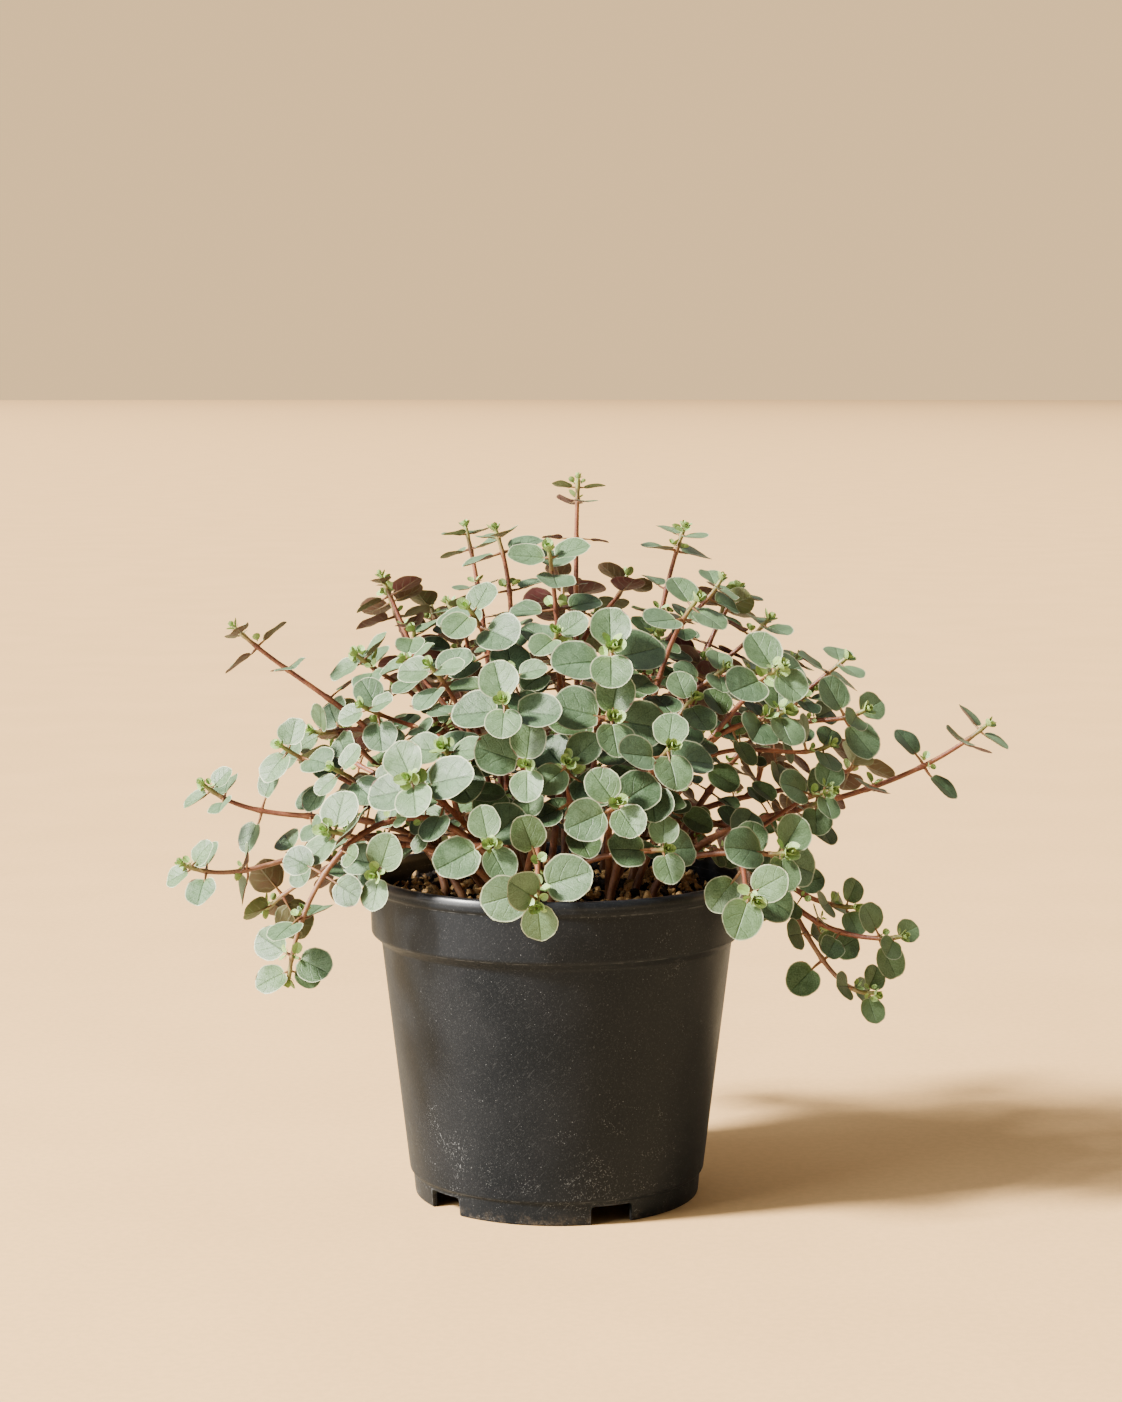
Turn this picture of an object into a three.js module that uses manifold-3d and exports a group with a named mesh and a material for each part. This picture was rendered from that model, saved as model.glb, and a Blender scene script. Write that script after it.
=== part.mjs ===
// Potted pilea: a small-leaved trailing pilea in a plain plastic nursery pot.
//
// Millimetres, +Z up. The origin is the middle of the pot's base, on the ground, and -Y is the front.
// The pot is one turned solid with a cut foot. The soil fills it and has a plain hole for each stem.
// Each leafy stem is one solid: a main shoot, its side shoots and their opposite pairs of round leaves.

import * as THREE from 'three';
import { mergeVertices } from 'three/addons/utils/BufferGeometryUtils.js';
import Module from 'manifold-3d';

const wasm = await Module();
wasm.setup();

const DEGREE = Math.PI / 180;
const FULL_TURN = 2 * Math.PI;
const UP = new THREE.Vector3(0, 0, 1);
const FRONT = new THREE.Vector3(0, -1, 0);
const GAP = 0.3; // air between two pieces that meet

// ---------------------------------------------------------------- driving dimensions: the pot

const POT_HEIGHT = 91;
const POT_SIDES = 24;
const WALL = 1.3;
const FLOOR_Z = 6; // underside of the raised floor
const HUB_RADIUS = 12; // middle of the floor, which comes down to the ground
const HUB_SLOPE = 1.4;
const FOOT_RADIUS = 40;
const FOOT_TOP_RADIUS = 40.6;
const FOOT_TOP_Z = 6.2;
const WALL_BOTTOM_RADIUS = 41.5;
const WALL_BOTTOM_Z = 6.9;
const WALL_TOP_RADIUS = 49.2;
const WALL_TOP_Z = 72;
const COLLAR_BOTTOM_RADIUS = 52;
const COLLAR_BOTTOM_Z = 74.5;
const COLLAR_TOP_RADIUS = 52.3;
const BEAD_RADIUS = 53;
const BEAD_BOTTOM_Z = 87;
const BEAD_TOP_Z = 89.6;
const BEAD_SLOPE = 0.6; // height of the bead's sloped underside
const RIM_THICKER = 0.4; // the wall at the rim is this much thicker
const NOTCH_COUNT = 5;
const NOTCH_FIRST_ANGLE = -68; // degrees from +X, so the first notch is right of the front
const NOTCH_WIDTH = 12;
const NOTCH_HEIGHT = 5.2;
const DRAIN_RADIUS = 4;
const DRAIN_CIRCLE = 31;
const DRAIN_SIDES = 8;

// ---------------------------------------------------------------- driving dimensions: the soil

const SOIL_EDGE_Z = 84.5;
const SOIL_CROWN = 2.2; // how much higher the middle is than the edge
const SOIL_RIPPLE = 0.55;
const SOIL_SIDES = 18;
const SOIL_RINGS = [27]; // radii of the rings of points in the top, inside its edge
const ROOT_DEPTH = 10;
const HOLE_LENGTH = 18; // long enough to come out of the top
const LUMP_COUNT = 9;
const LUMP_SMALL = 2.2;
const LUMP_LARGE = 3.6;
const LUMP_REACH = 43; // furthest lump from the middle
const LUMP_SHAPE = [1, 0.8, 0.62]; // how long, wide and high a lump is, as shares of its size
const LUMP_TILT = 0.35;
const LUMP_RISE = 0.2;

// ---------------------------------------------------------------- driving dimensions: the plant

const MAIN_RADIUS = 1.4; // at the soil
const SIDE_RADIUS = 1.1; // where a side shoot leaves its main shoot
const TIP_RADIUS = 0.7;
const TIP_POINT = 1.6; // length of the bud's point
const STEM_SIDES = 3;
const STEM_STEP = 18; // length of one straight piece of a faceted stem
const ROOT_SPACING = 6.2;
const ROOT_NEAREST = 3; // nearest root to the middle
const ROOT_REACH = 33; // furthest root from the middle
const ROOT_SHARE = 0.3; // of a tip's distance from the middle
const ROOT_TURN_JITTER = 12; // spread of a root's angle from its tip's, in degrees
const FOOT_RISE = 1.5; // a stem runs straight up out of the soil as far as this above it
const OUTWARD_START = 0.35; // how much a main shoot leans out from there
const FORK_WAY = 0.6; // share of the main shoot's way in the way that a side shoot starts
const START_BEND = 0.4; // how far a shoot keeps its first way, as a share of its reach
const TIP_BEND = 0.34; // and the way of its tip

const BLADE_THICKNESS = 0.8;
const BLADE_FOLD = 0.4; // rise of the blade's sides above its midrib
const UNDER_FOLD = 0.25;
const BASE_WIDTH = 0.2; // of the blade's base edge, as a share of its length
const SINK = 0.25; // how far a leafstalk runs past the middle of its stem
// Half outline of a blade from base to tip: distance along the midrib and from it, in blade lengths.
const HALF_OUTLINE = [[0.24, 0.48], [0.74, 0.47]];
const UNDER_CORNER = [0.5, 0.38]; // corner of the blade's flat underside, inside the bevel
const UNDER_TIP = 0.86;

// The pairs of a shoot, counted from its tip: distance from the tip, leafstalk, how far the leaves
// point along the shoot, and blade length as a share of the shoot's leaf size.
const PAIRS = [
  { from: 2, stalk: 0.9, lift: 20, scale: 0.84 },
  { from: 6.5, stalk: 2, lift: 6, scale: 1.02 },
  { from: 17, stalk: 3.2, lift: 4, scale: 1 },
  { from: 29, stalk: 3.6, lift: 2, scale: 0.98 },
  { from: 42, stalk: 3.6, lift: 0, scale: 0.94 },
];
const INNER_SIZE = 0.82; // size of the pairs below the outer two, unless on a long bent shoot
const PAIR_JITTER = 0.09; // spread of distances and sizes
const TURN_JITTER = 9; // spread of the leaves' directions, in degrees
const LAST_PAIR_CLEAR = 9; // leafless length at the bottom of a shoot
const LIGHT_UP = 0.62; // blades turn to the light: shares of up and of outwards
const LIGHT_OUT = 0.15;
const LIGHT_PULL = 0.72; // 0: blades face along the shoot, 1: blades face the light
const RIB_BEND = 0.6; // how much of a midrib's rise towards the light its leafstalk takes back

// Air kept round the pieces of the plant.
const BLADE_AIR = 1.5; // between the middles of two blades
const EDGE_AIR = 0.75; // beyond the edge of a blade
const STALK_AIR = 0.9; // between a blade or a leafstalk and a stem's surface
const STEM_AIR = 0.8;
const SOIL_AIR = 3;
const RIM_AIR = 1.2;

// Where a blade would touch something it is turned aside: sideways, along the shoot, and rolled.
const TURNS_ASIDE = [
  [0, 0, 0], [0, 14, 0], [0, -14, 0], [13, 0, 0], [-13, 0, 0], [0, 0, 20], [0, 0, -20],
  [18, 12, 12], [-18, 12, -12], [0, 28, 0], [0, -28, 0], [24, -14, 18], [-24, -14, -18],
  [30, 0, 0], [-30, 0, 0], [0, 42, 0], [0, -42, 0], [36, 20, 24], [-36, 20, -24],
];
const SHRINKS = [1, 0.84];
const FRONT_PULL = 0.5; // how much the tips and blades of the front stems turn to the front
const FAR_PULL = -0.45; // and those of the far stems, which turn to the back

// Stems whose tips show from the front. A shoot is its tip's place, how steeply the tip rises in
// degrees, the turn of its first pair, its leaf size and its number of leaf pairs. via holds the
// two points that bend a long shoot, from says how far up its main shoot a side shoot leaves,
// stretch spaces the pairs wider, front is how much the shoot turns to the front, and bare lists the
// pair and half of leaves that have fallen.
const at = (x, y, z) => new THREE.Vector3(x, y, z);
const shoot = (x, y, z, rise, turn, leaf, pairs, more = {}) => (
  { tip: at(x, y, z), rise, turn, leaf, pairs, front: FRONT_PULL, stretch: 1, bare: [], ...more }
);
const FRONT_STEMS = [
  // the spire and the top of the dome
  [
    shoot(6, 14, 200, 84, 10, 7, 4, { front: 0 }),
    shoot(20, 26, 172, 66, 60, 9, 3, { from: 0.55, front: -0.3 }),
  ],
  [shoot(-26, 24, 186, 72, 0, 8, 3, { front: 0.12 })],
  [shoot(-17, 6, 186, 70, 20, 9.5, 3, { front: 0.2 })],
  [
    shoot(-2, -8, 181, 60, 20, 11.5, 4, { front: 0.15 }),
    shoot(0, -24, 160, 44, 50, 10, 2, { from: 0.5, front: 0.3 }),
  ],
  [
    shoot(36, 18, 186, 70, 15, 9.5, 3, { front: 0.2 }),
    shoot(28, 0, 158, 50, 70, 10, 2, { from: 0.45, front: 0.25 }),
  ],
  [
    shoot(52, 30, 168, 58, 30, 10, 3, { front: 0.1 }),
    shoot(60, 18, 160, 50, 0, 10, 3, { from: 0.55, front: 0.25 }),
  ],
  [
    shoot(38, -16, 168, 48, 90, 11.5, 3, { front: 0.35 }),
    shoot(46, -12, 149, 40, 45, 10, 2, { from: 0.5, front: 0.35 }),
  ],
  [
    shoot(-24, -17, 166, 42, 80, 11.5, 3, { front: 0.4 }),
    shoot(-12, -30, 150, 34, 20, 10, 2, { from: 0.5, front: 0.35 }),
  ],
  [
    shoot(-50, 22, 172, 62, 25, 8, 4, { front: -0.05 }),
    shoot(-56, 6, 151, 42, 70, 10, 3, { from: 0.5, front: 0.2 }),
  ],
  [shoot(-37, 38, 164, 60, 50, 9, 3, { front: -0.45 })],
  // the front of the dome
  [shoot(15, -38, 157, 32, 90, 13, 3), shoot(15, -42, 139, 20, 80, 12.5, 2, { from: 0.62 })],
  [shoot(-14, -48, 144, 26, 100, 12, 3), shoot(-8, -47, 127, 14, 75, 12, 2, { from: 0.55 })],
  [
    shoot(-34, -26, 151, 40, 15, 10, 3, { front: 0.3 }),
    shoot(-42, -6, 151, 46, 65, 9, 2, { from: 0.5, front: 0.25 }),
  ],
  [shoot(-39, -46, 123, 24, 110, 12.5, 3), shoot(-30, -36, 130, 32, 10, 12, 2, { from: 0.5 })],
  [shoot(3, -44, 127, 20, 45, 12, 3)],
  [shoot(16, -55, 118, 20, 115, 12, 3, { bare: [[2, 0]] })],
  [shoot(30, -50, 132, 26, 80, 12, 3), shoot(37, -24, 142, 36, 80, 11, 2, { from: 0.5 })],
  [shoot(29, -50, 105, 14, 80, 9.8, 2)],
  [shoot(-17, -54, 107, 14, 110, 11.5, 2)],
  [shoot(-5, -65, 92, 0, 110, 12, 2, { via: [at(-4, -34, 116), at(-5, -52, 106)] })],
  // the right side
  [shoot(60, -28, 151, 34, 100, 12, 4), shoot(62, -20, 138, 24, 65, 11.5, 2, { from: 0.6 })],
  [
    shoot(81, 6, 150, 40, 35, 9.5, 4, { front: 0.2 }),
    shoot(85, -8, 137, 30, 10, 10, 3, { from: 0.6 }),
  ],
  [
    shoot(120, 0, 132, 40, 65, 9.5, 5, {
      via: [at(38, -2, 112), at(86, 0, 103)], stretch: 1.2, front: 0.2,
    }),
    shoot(73, -12, 112, 20, 60, 11, 3, { from: 0.42 }),
  ],
  [
    shoot(61, -44, 103, 14, 60, 12.5, 3, { bare: [[2, 0]] }),
    shoot(52, -52, 92, -10, 70, 12, 2, { from: 0.6, bare: [[1, 0]] }),
  ],
  [
    shoot(87, -24, 61, -6, 60, 8.5, 5, { via: [at(50, -16, 138), at(60, -20, 56)] }),
    shoot(94, -26, 77, 14, 20, 8.5, 3, { from: 0.6 }),
    shoot(82, -14, 83, 6, 75, 9, 2, { from: 0.5 }),
  ],
  // the left side
  [
    shoot(-90, 4, 159, 44, 15, 8.5, 5, {
      via: [at(-32, 2, 128), at(-68, 3, 138)], stretch: 1.2, front: 0,
    }),
    shoot(-68, 2, 130, 20, 50, 10, 3, { from: 0.5 }),
  ],
  [shoot(-76, -8, 127, 34, 100, 10.5, 3)],
  [
    shoot(-98, -6, 116, 40, 80, 8.5, 5, { via: [at(-38, -2, 118), at(-78, -5, 98)], stretch: 1.1 }),
  ],
  [
    shoot(-103, -14, 95, 26, 60, 8.5, 5, { via: [at(-42, -6, 124), at(-80, -10, 82)], stretch: 1.1 }),
  ],
  [
    shoot(-62, -30, 107, 18, 110, 12, 3),
    shoot(-48, -44, 97, 0, 75, 11, 2, { from: 0.6, bare: [[1, 1]] }),
  ],
  [shoot(-72, -38, 68, -64, 20, 9.5, 4, { via: [at(-36, -20, 122), at(-68, -37, 100)] })],
];

// Stems of the far side. A place is the tip's distance from the middle, its height, its rise, leaf
// size and pairs. They go round from the right to the left in this order.
const FAR_KINDS = [
  { main: [98, 118, 32, 10, 3], side: [74, 132, 36, 11, 2] },
  { main: [50, 168, 62, 10, 3], side: [40, 150, 55, 11, 2] },
  { main: [84, 72, -40, 10, 3], side: [70, 96, 0, 11, 2] },
  { main: [74, 146, 44, 11, 3], side: [62, 128, 34, 11, 2] },
];
const FAR_COUNT = 11;
const FAR_FIRST_ANGLE = 14; // degrees from +X
const FAR_LAST_ANGLE = 166;
const FAR_SIDE_ANGLE = 15; // between a main shoot and its side shoot
const FAR_JITTER = 5;

// ---------------------------------------------------------------- draws and small helpers

const DRAW_FACTOR = 16807;
const DRAW_SIZE = 2147483647;

/** A seeded stream of numbers from 0 to 1. */
function draws(seed) {
  let state = (seed * 7919 + 101) % DRAW_SIZE;
  return () => {
    state = (state * DRAW_FACTOR) % DRAW_SIZE;
    return state / DRAW_SIZE;
  };
}

/** A draw from -amount to +amount. */
const spread = (next, amount) => (2 * next() - 1) * amount;

/** The sum of vectors, each times its share. */
function mix(...terms) {
  const sum = new THREE.Vector3();
  for (const [vector, share] of terms) {
    sum.addScaledVector(vector, share);
  }
  return sum;
}

/** A level vector at an angle from +X in degrees. */
const level = (angle, length = 1) => (
  at(Math.cos(angle * DEGREE) * length, Math.sin(angle * DEGREE) * length, 0)
);

/** Height of the soil's top: crowned in the middle, with low ripples. */
function soilHeight(x, y) {
  const share = (x * x + y * y) / (WALL_TOP_RADIUS * WALL_TOP_RADIUS);
  const ripple = Math.sin(0.31 * x + 0.8) * Math.cos(0.27 * y) + 0.6 * Math.sin(0.2 * (x - y));
  return SOIL_EDGE_Z + SOIL_CROWN * (1 - share) + SOIL_RIPPLE * ripple;
}

/** A closed mesh as a solid that can be joined and cut. */
function solidOf(geometry) {
  const bare = geometry.clone();
  bare.deleteAttribute('normal');
  bare.deleteAttribute('uv');
  const merged = mergeVertices(bare, 1e-4);
  return new wasm.Manifold(new wasm.Mesh({
    numProp: 3,
    vertProperties: new Float32Array(merged.attributes.position.array),
    triVerts: new Uint32Array(merged.index.array),
  }));
}

/** A geometry from a list of points and a list of triangles. */
function geometryOf(points, faces) {
  const geometry = new THREE.BufferGeometry();
  geometry.setAttribute('position', new THREE.Float32BufferAttribute(points.flatMap((p) => [...p]), 3));
  geometry.setIndex(faces.flat());
  return geometry;
}

/** The solid's largest body as a geometry, without the closed hollows that joining can leave. */
function geometryFrom(solid) {
  const bodies = solid.decompose();
  bodies.sort((a, b) => b.volume() - a.volume());
  const mesh = bodies[0].getMesh();
  const geometry = new THREE.BufferGeometry();
  geometry.setAttribute('position', new THREE.Float32BufferAttribute(mesh.vertProperties, 3));
  geometry.setIndex([...mesh.triVerts]);
  geometry.computeVertexNormals();
  return geometry;
}

/** A solid turned about the Z axis from a closed profile of [radius, height] points. */
function turned(profile, sides) {
  const points = profile.map(([radius, height]) => new THREE.Vector2(radius, height));
  const geometry = new THREE.LatheGeometry(points, sides);
  geometry.rotateX(Math.PI / 2);
  return solidOf(geometry);
}

// ---------------------------------------------------------------- the pot

const INNER_FLOOR_Z = FLOOR_Z + WALL;
const INNER_FLOOR_RADIUS = WALL_BOTTOM_RADIUS - WALL;
const INNER_WALL_TOP_RADIUS = WALL_TOP_RADIUS - WALL;
const INNER_COLLAR_RADIUS = COLLAR_BOTTOM_RADIUS - WALL;
const INNER_RIM_RADIUS = COLLAR_TOP_RADIUS - WALL - RIM_THICKER;

/** The pot: a turned wall, collar and floor, with notches in the foot and drain holes in the floor. */
function pot() {
  const profile = [
    [0, 0],
    [HUB_RADIUS, 0],
    [HUB_RADIUS + HUB_SLOPE, FLOOR_Z],
    [FOOT_RADIUS - WALL, FLOOR_Z],
    [FOOT_RADIUS - WALL, 0],
    [FOOT_RADIUS, 0],
    [FOOT_TOP_RADIUS, FOOT_TOP_Z],
    [WALL_BOTTOM_RADIUS, WALL_BOTTOM_Z],
    [WALL_TOP_RADIUS, WALL_TOP_Z],
    [COLLAR_BOTTOM_RADIUS, COLLAR_BOTTOM_Z],
    [COLLAR_TOP_RADIUS, BEAD_BOTTOM_Z],
    [BEAD_RADIUS, BEAD_BOTTOM_Z + BEAD_SLOPE],
    [BEAD_RADIUS, BEAD_TOP_Z],
    [COLLAR_TOP_RADIUS, POT_HEIGHT],
    [INNER_RIM_RADIUS, POT_HEIGHT],
    [INNER_COLLAR_RADIUS, COLLAR_BOTTOM_Z + WALL],
    [INNER_WALL_TOP_RADIUS, WALL_TOP_Z + WALL],
    [INNER_FLOOR_RADIUS, INNER_FLOOR_Z],
    [HUB_RADIUS + HUB_SLOPE + WALL, INNER_FLOOR_Z],
    [HUB_RADIUS + WALL, WALL],
    [0, WALL],
  ];
  let body = turned(profile, POT_SIDES);
  for (let i = 0; i < NOTCH_COUNT; i += 1) {
    const angle = NOTCH_FIRST_ANGLE + (i * 360) / NOTCH_COUNT;
    const notch = new THREE.BoxGeometry(4 * WALL, NOTCH_WIDTH, 2 * NOTCH_HEIGHT);
    notch.translate(FOOT_RADIUS - WALL / 2, 0, 0);
    notch.rotateZ(angle * DEGREE);
    body = body.subtract(solidOf(notch));
    const drain = new THREE.CylinderGeometry(DRAIN_RADIUS, DRAIN_RADIUS, 4 * WALL, DRAIN_SIDES);
    drain.rotateX(Math.PI / 2);
    drain.translate(DRAIN_CIRCLE, 0, FLOOR_Z + WALL / 2);
    drain.rotateZ(angle * DEGREE);
    body = body.subtract(solidOf(drain));
  }
  return geometryFrom(body);
}

// ---------------------------------------------------------------- the shoots

const CURVE_POINTS = 60;
const AIR_ENOUGH = 20; // stems further apart than this aren't compared
const FORK_LENGTH = 8; // a side shoot may touch its main shoot as far as this from its fork
const ROOT_STEPS = [0, 5, -5, 10, -10, 15]; // a taken root place is moved out and in
const ROOT_TURNS = [0, 12, -12, 24, -24, 36, -36, 48, -48]; // and round, in degrees

/** A shoot's curve as evenly numbered points with their distance from the start. */
function trace(start, bendA, bendB, tip) {
  const curve = new THREE.CubicBezierCurve3(start, bendA, bendB, tip);
  const points = curve.getPoints(CURVE_POINTS);
  const along = [0];
  for (let i = 1; i < points.length; i += 1) {
    along.push(along[i - 1] + points[i].distanceTo(points[i - 1]));
  }
  return { points, along, length: along[along.length - 1] };
}

/** The point of a trace at a distance from its start, and the way it runs there. */
function along(path, distance) {
  const last = path.points.length - 1;
  let i = 1;
  while (i < last && path.along[i] < distance) {
    i += 1;
  }
  const share = (distance - path.along[i - 1]) / (path.along[i] - path.along[i - 1]);
  const point = path.points[i - 1].clone().lerp(path.points[i], share);
  const way = path.points[i].clone().sub(path.points[i - 1]).normalize();
  return { point, way };
}

/** The number of straight pieces in a shoot's solid. */
const pieceCount = (path) => Math.max(2, Math.round(path.length / STEM_STEP));

/** The point of a shoot's straight pieces at a distance from its start. */
function alongPieces(path, distance) {
  const step = path.length / pieceCount(path);
  const piece = Math.min(Math.floor(distance / step), pieceCount(path) - 1);
  const [from, to] = [piece * step, (piece + 1) * step].map((end) => along(path, end).point);
  return from.lerp(to, distance / step - piece);
}

/** How thick a shoot is at a share of its length. */
const radiusAt = (path, share) => path.radius + (TIP_RADIUS - path.radius) * share;

/** The way a tip points: outwards and towards the front, at its own rise. */
function tipWay(spec) {
  const out = at(spec.tip.x, spec.tip.y, 0).normalize();
  const lean = mix([out, 1], [FRONT, spec.front]).setZ(0).normalize();
  return mix([lean, Math.cos(spec.rise * DEGREE)], [UP, Math.sin(spec.rise * DEGREE)]);
}

/** True where a stem's point is clear of the soil and the pot. */
function stemClearsPot(point, radius) {
  const reach = Math.hypot(point.x, point.y);
  if (reach < INNER_RIM_RADIUS - radius - RIM_AIR) {
    return true;
  }
  const top = POT_HEIGHT + radius + RIM_AIR;
  return point.z > top || reach > BEAD_RADIUS + radius + RIM_AIR;
}

/** The least air between a trace and the stems that already stand, in mm. */
function airAround(path, standing, parent) {
  let least = AIR_ENOUGH;
  for (let i = 2; i < path.points.length; i += 2) {
    const radius = radiusAt(path, i / CURVE_POINTS);
    if (!stemClearsPot(path.points[i], radius)) {
      least = Math.min(least, -1);
    }
    for (const other of standing) {
      for (let j = 0; j < other.points.length; j += 2) {
        const nearFork = other === parent && path.along[i] < FORK_LENGTH;
        if (!nearFork) {
          const radii = radius + radiusAt(other, j / CURVE_POINTS);
          least = Math.min(least, path.points[i].distanceTo(other.points[j]) - radii);
        }
      }
    }
  }
  return least;
}

// A shoot that comes too near another is bent aside: across its own direction and upwards.
const TIP_SHARE = 0.6; // how much of the bend reaches the shoot's outer half
const BENDS_ASIDE = [
  [0, 0], [5, 0], [-5, 0], [0, 5], [9, 3], [-9, 3], [14, 0], [-14, 0], [8, 10], [-8, 10],
  [0, 14], [0, -5], [18, 8], [-18, 8],
];

/** A shoot's trace, bent aside where it would touch one that already stands. */
function clearTrace(start, firstWay, spec, radius, standing, parent) {
  const reach = spec.tip.distanceTo(start);
  const way = tipWay(spec);
  const across = mix([spec.tip, 1], [start, -1]).setZ(0).normalize().cross(UP);
  const [bendA, bendB] = spec.via ?? [
    mix([start, 1], [firstWay, START_BEND * reach]),
    mix([spec.tip, 1], [way, -TIP_BEND * reach]),
  ];
  let best = null;
  for (const [side, rise] of BENDS_ASIDE) {
    const shift = mix([across, side], [UP, rise]);
    const path = trace(start, mix([bendA, 1], [shift, 1]), mix([bendB, 1], [shift, TIP_SHARE]), spec.tip);
    path.radius = radius;
    path.spec = spec;
    path.apex = mix([spec.tip, 1], [way, TIP_POINT]);
    const air = airAround(path, standing, parent);
    if (best === null || air > best.air) {
      best = path;
      best.air = air;
    }
    if (air >= STEM_AIR) {
      break;
    }
  }
  return best;
}

/** A free place in the soil near the wanted one. */
function rootPlace(angle, distance, roots) {
  for (const step of ROOT_STEPS) {
    for (const turn of ROOT_TURNS) {
      const reach = Math.min(Math.max(distance + step, ROOT_NEAREST), ROOT_REACH);
      const place = level(angle + turn, reach);
      if (roots.every((other) => other.distanceTo(place) >= ROOT_SPACING)) {
        return place;
      }
    }
  }
  throw new Error('no free place for a root');
}

/** The stems of the far side, by kind in turn, with drawn differences. */
function farStems() {
  const stems = [];
  for (let i = 0; i < FAR_COUNT; i += 1) {
    const next = draws(500 + i);
    const kind = FAR_KINDS[i % FAR_KINDS.length];
    const share = i / (FAR_COUNT - 1);
    const angle = FAR_FIRST_ANGLE + (FAR_LAST_ANGLE - FAR_FIRST_ANGLE) * share;
    const side = i % 2 === 0 ? FAR_SIDE_ANGLE : -FAR_SIDE_ANGLE;
    const places = [[kind.main, angle], [kind.side, angle + side]];
    stems.push(places.map(([[reach, height, rise, leaf, pairs], place]) => {
      const tip = level(place + spread(next, FAR_JITTER), reach + spread(next, FAR_JITTER));
      tip.z = height + spread(next, FAR_JITTER);
      return shoot(...tip, rise, 90 * next(), leaf, pairs, { from: 0.5, front: FAR_PULL });
    }));
  }
  return stems;
}

/** Every stem: its root, and the traces of its main shoot and side shoots. */
function growStems() {
  const stems = [];
  const standing = [];
  const roots = [];
  const plans = [...FRONT_STEMS, ...farStems()];
  plans.forEach((specs, index) => {
    const [mainSpec] = specs;
    const next = draws(index + 1);
    const tipAngle = Math.atan2(mainSpec.tip.y, mainSpec.tip.x) / DEGREE;
    const tipReach = Math.hypot(mainSpec.tip.x, mainSpec.tip.y);
    const root = rootPlace(tipAngle + spread(next, ROOT_TURN_JITTER), 5 + ROOT_SHARE * tipReach, roots);
    roots.push(root);
    const foot = at(root.x, root.y, soilHeight(root.x, root.y) + FOOT_RISE);
    const out = mix([mainSpec.tip, 1], [foot, -1]).setZ(0).normalize();
    const shoots = [];
    for (const spec of specs) {
      const isMain = spec === mainSpec;
      let start = foot;
      let way = mix([out, OUTWARD_START], [UP, 1]).normalize();
      if (!isMain) {
        const fork = along(shoots[0], spec.from * shoots[0].length);
        start = fork.point;
        const toTip = mix([spec.tip, 1], [start, -1]).normalize();
        way = mix([fork.way, FORK_WAY], [toTip, 1 - FORK_WAY]).normalize();
      }
      const radius = isMain ? MAIN_RADIUS : SIDE_RADIUS;
      const path = clearTrace(start, way, spec, radius, standing, isMain ? null : shoots[0]);
      path.isMain = isMain;
      path.stem = index;
      shoots.push(path);
      standing.push(path);
    }
    stems.push({ root, foot, shoots });
  });
  return { stems, standing };
}

// ---------------------------------------------------------------- the leaves

const UPRIGHT = 0.15; // a shoot whose way is this near to upright has no level side of its own
const EDGE_ON = 0.25; // and so with a blade whose midrib runs this near to the light
const BLADE_REACH = 0.51; // radius of the circle round a blade, in blade lengths
const STALK_TRIALS = [0.35, 0.7]; // places along a leafstalk that are tried for air
const NEAR_BLADES = 6; // blades whose circles are further apart than this aren't compared
const NEAR_STEM = 8;

/** The points of a blade that are tried for air: its middle and two rings round it. */
const TRIAL_POINTS = [[0, 0]];
for (let i = 0; i < 6; i += 1) {
  TRIAL_POINTS.push([0.5 * Math.cos(i * 60 * DEGREE), 0.5 * Math.sin(i * 60 * DEGREE)]);
}
for (let i = 0; i < 12; i += 1) {
  TRIAL_POINTS.push([Math.cos(i * 30 * DEGREE), Math.sin(i * 30 * DEGREE)]);
}

/** A leaf at a station of a shoot, turned aside and shrunk as asked. */
function leafAt(path, station, [turn, tilt, roll], shrink) {
  const { point, way } = station;
  let across = new THREE.Vector3().crossVectors(UP, way);
  if (across.length() < UPRIGHT) {
    across = mix([at(1, 0, 0), 1], [way, -way.x]);
  }
  across.normalize();
  const raised = new THREE.Vector3().crossVectors(way, across);
  const angle = (station.turn + turn) * DEGREE;
  const outward = mix([across, Math.cos(angle)], [raised, Math.sin(angle)]);
  const lift = (station.lift + tilt) * DEGREE;
  const out = at(path.spec.tip.x, path.spec.tip.y, 0).normalize();
  const light = mix([UP, LIGHT_UP], [out, LIGHT_OUT], [FRONT, path.spec.front]).normalize();
  const aim = mix([way, 1 - LIGHT_PULL], [light, LIGHT_PULL]).normalize();
  const rib = mix([outward, Math.cos(lift)], [way, Math.sin(lift)]).normalize();
  rib.addScaledVector(aim, -RIB_BEND * rib.dot(aim)).normalize();
  const face = mix([aim, 1], [rib, -aim.dot(rib)]);
  if (face.length() < EDGE_ON) {
    face.copy(mix([way, 1], [rib, -way.dot(rib)]));
  }
  face.normalize().applyAxisAngle(rib, (station.roll + roll) * DEGREE);
  const size = station.size * shrink;
  const stalkWay = mix([outward, 1], [rib, 1]).normalize();
  const base = mix([point, 1], [stalkWay, station.radius + station.stalk]);
  return {
    stem: path.stem,
    root: mix([station.chord, 1], [outward, -SINK]),
    base,
    middle: mix([base, 1], [rib, size / 2]),
    rib,
    face,
    side: new THREE.Vector3().crossVectors(face, rib),
    size,
    reach: size * BLADE_REACH,
    stalkPoints: STALK_TRIALS.map((share) => mix([point, 1 - share], [base, share])),
  };
}

/** The points of a leaf's blade that are tried for air. */
const trialPoints = (leaf) => TRIAL_POINTS.map(([a, b]) => (
  mix([leaf.middle, 1], [leaf.rib, a * leaf.reach], [leaf.side, b * leaf.reach])
));

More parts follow.
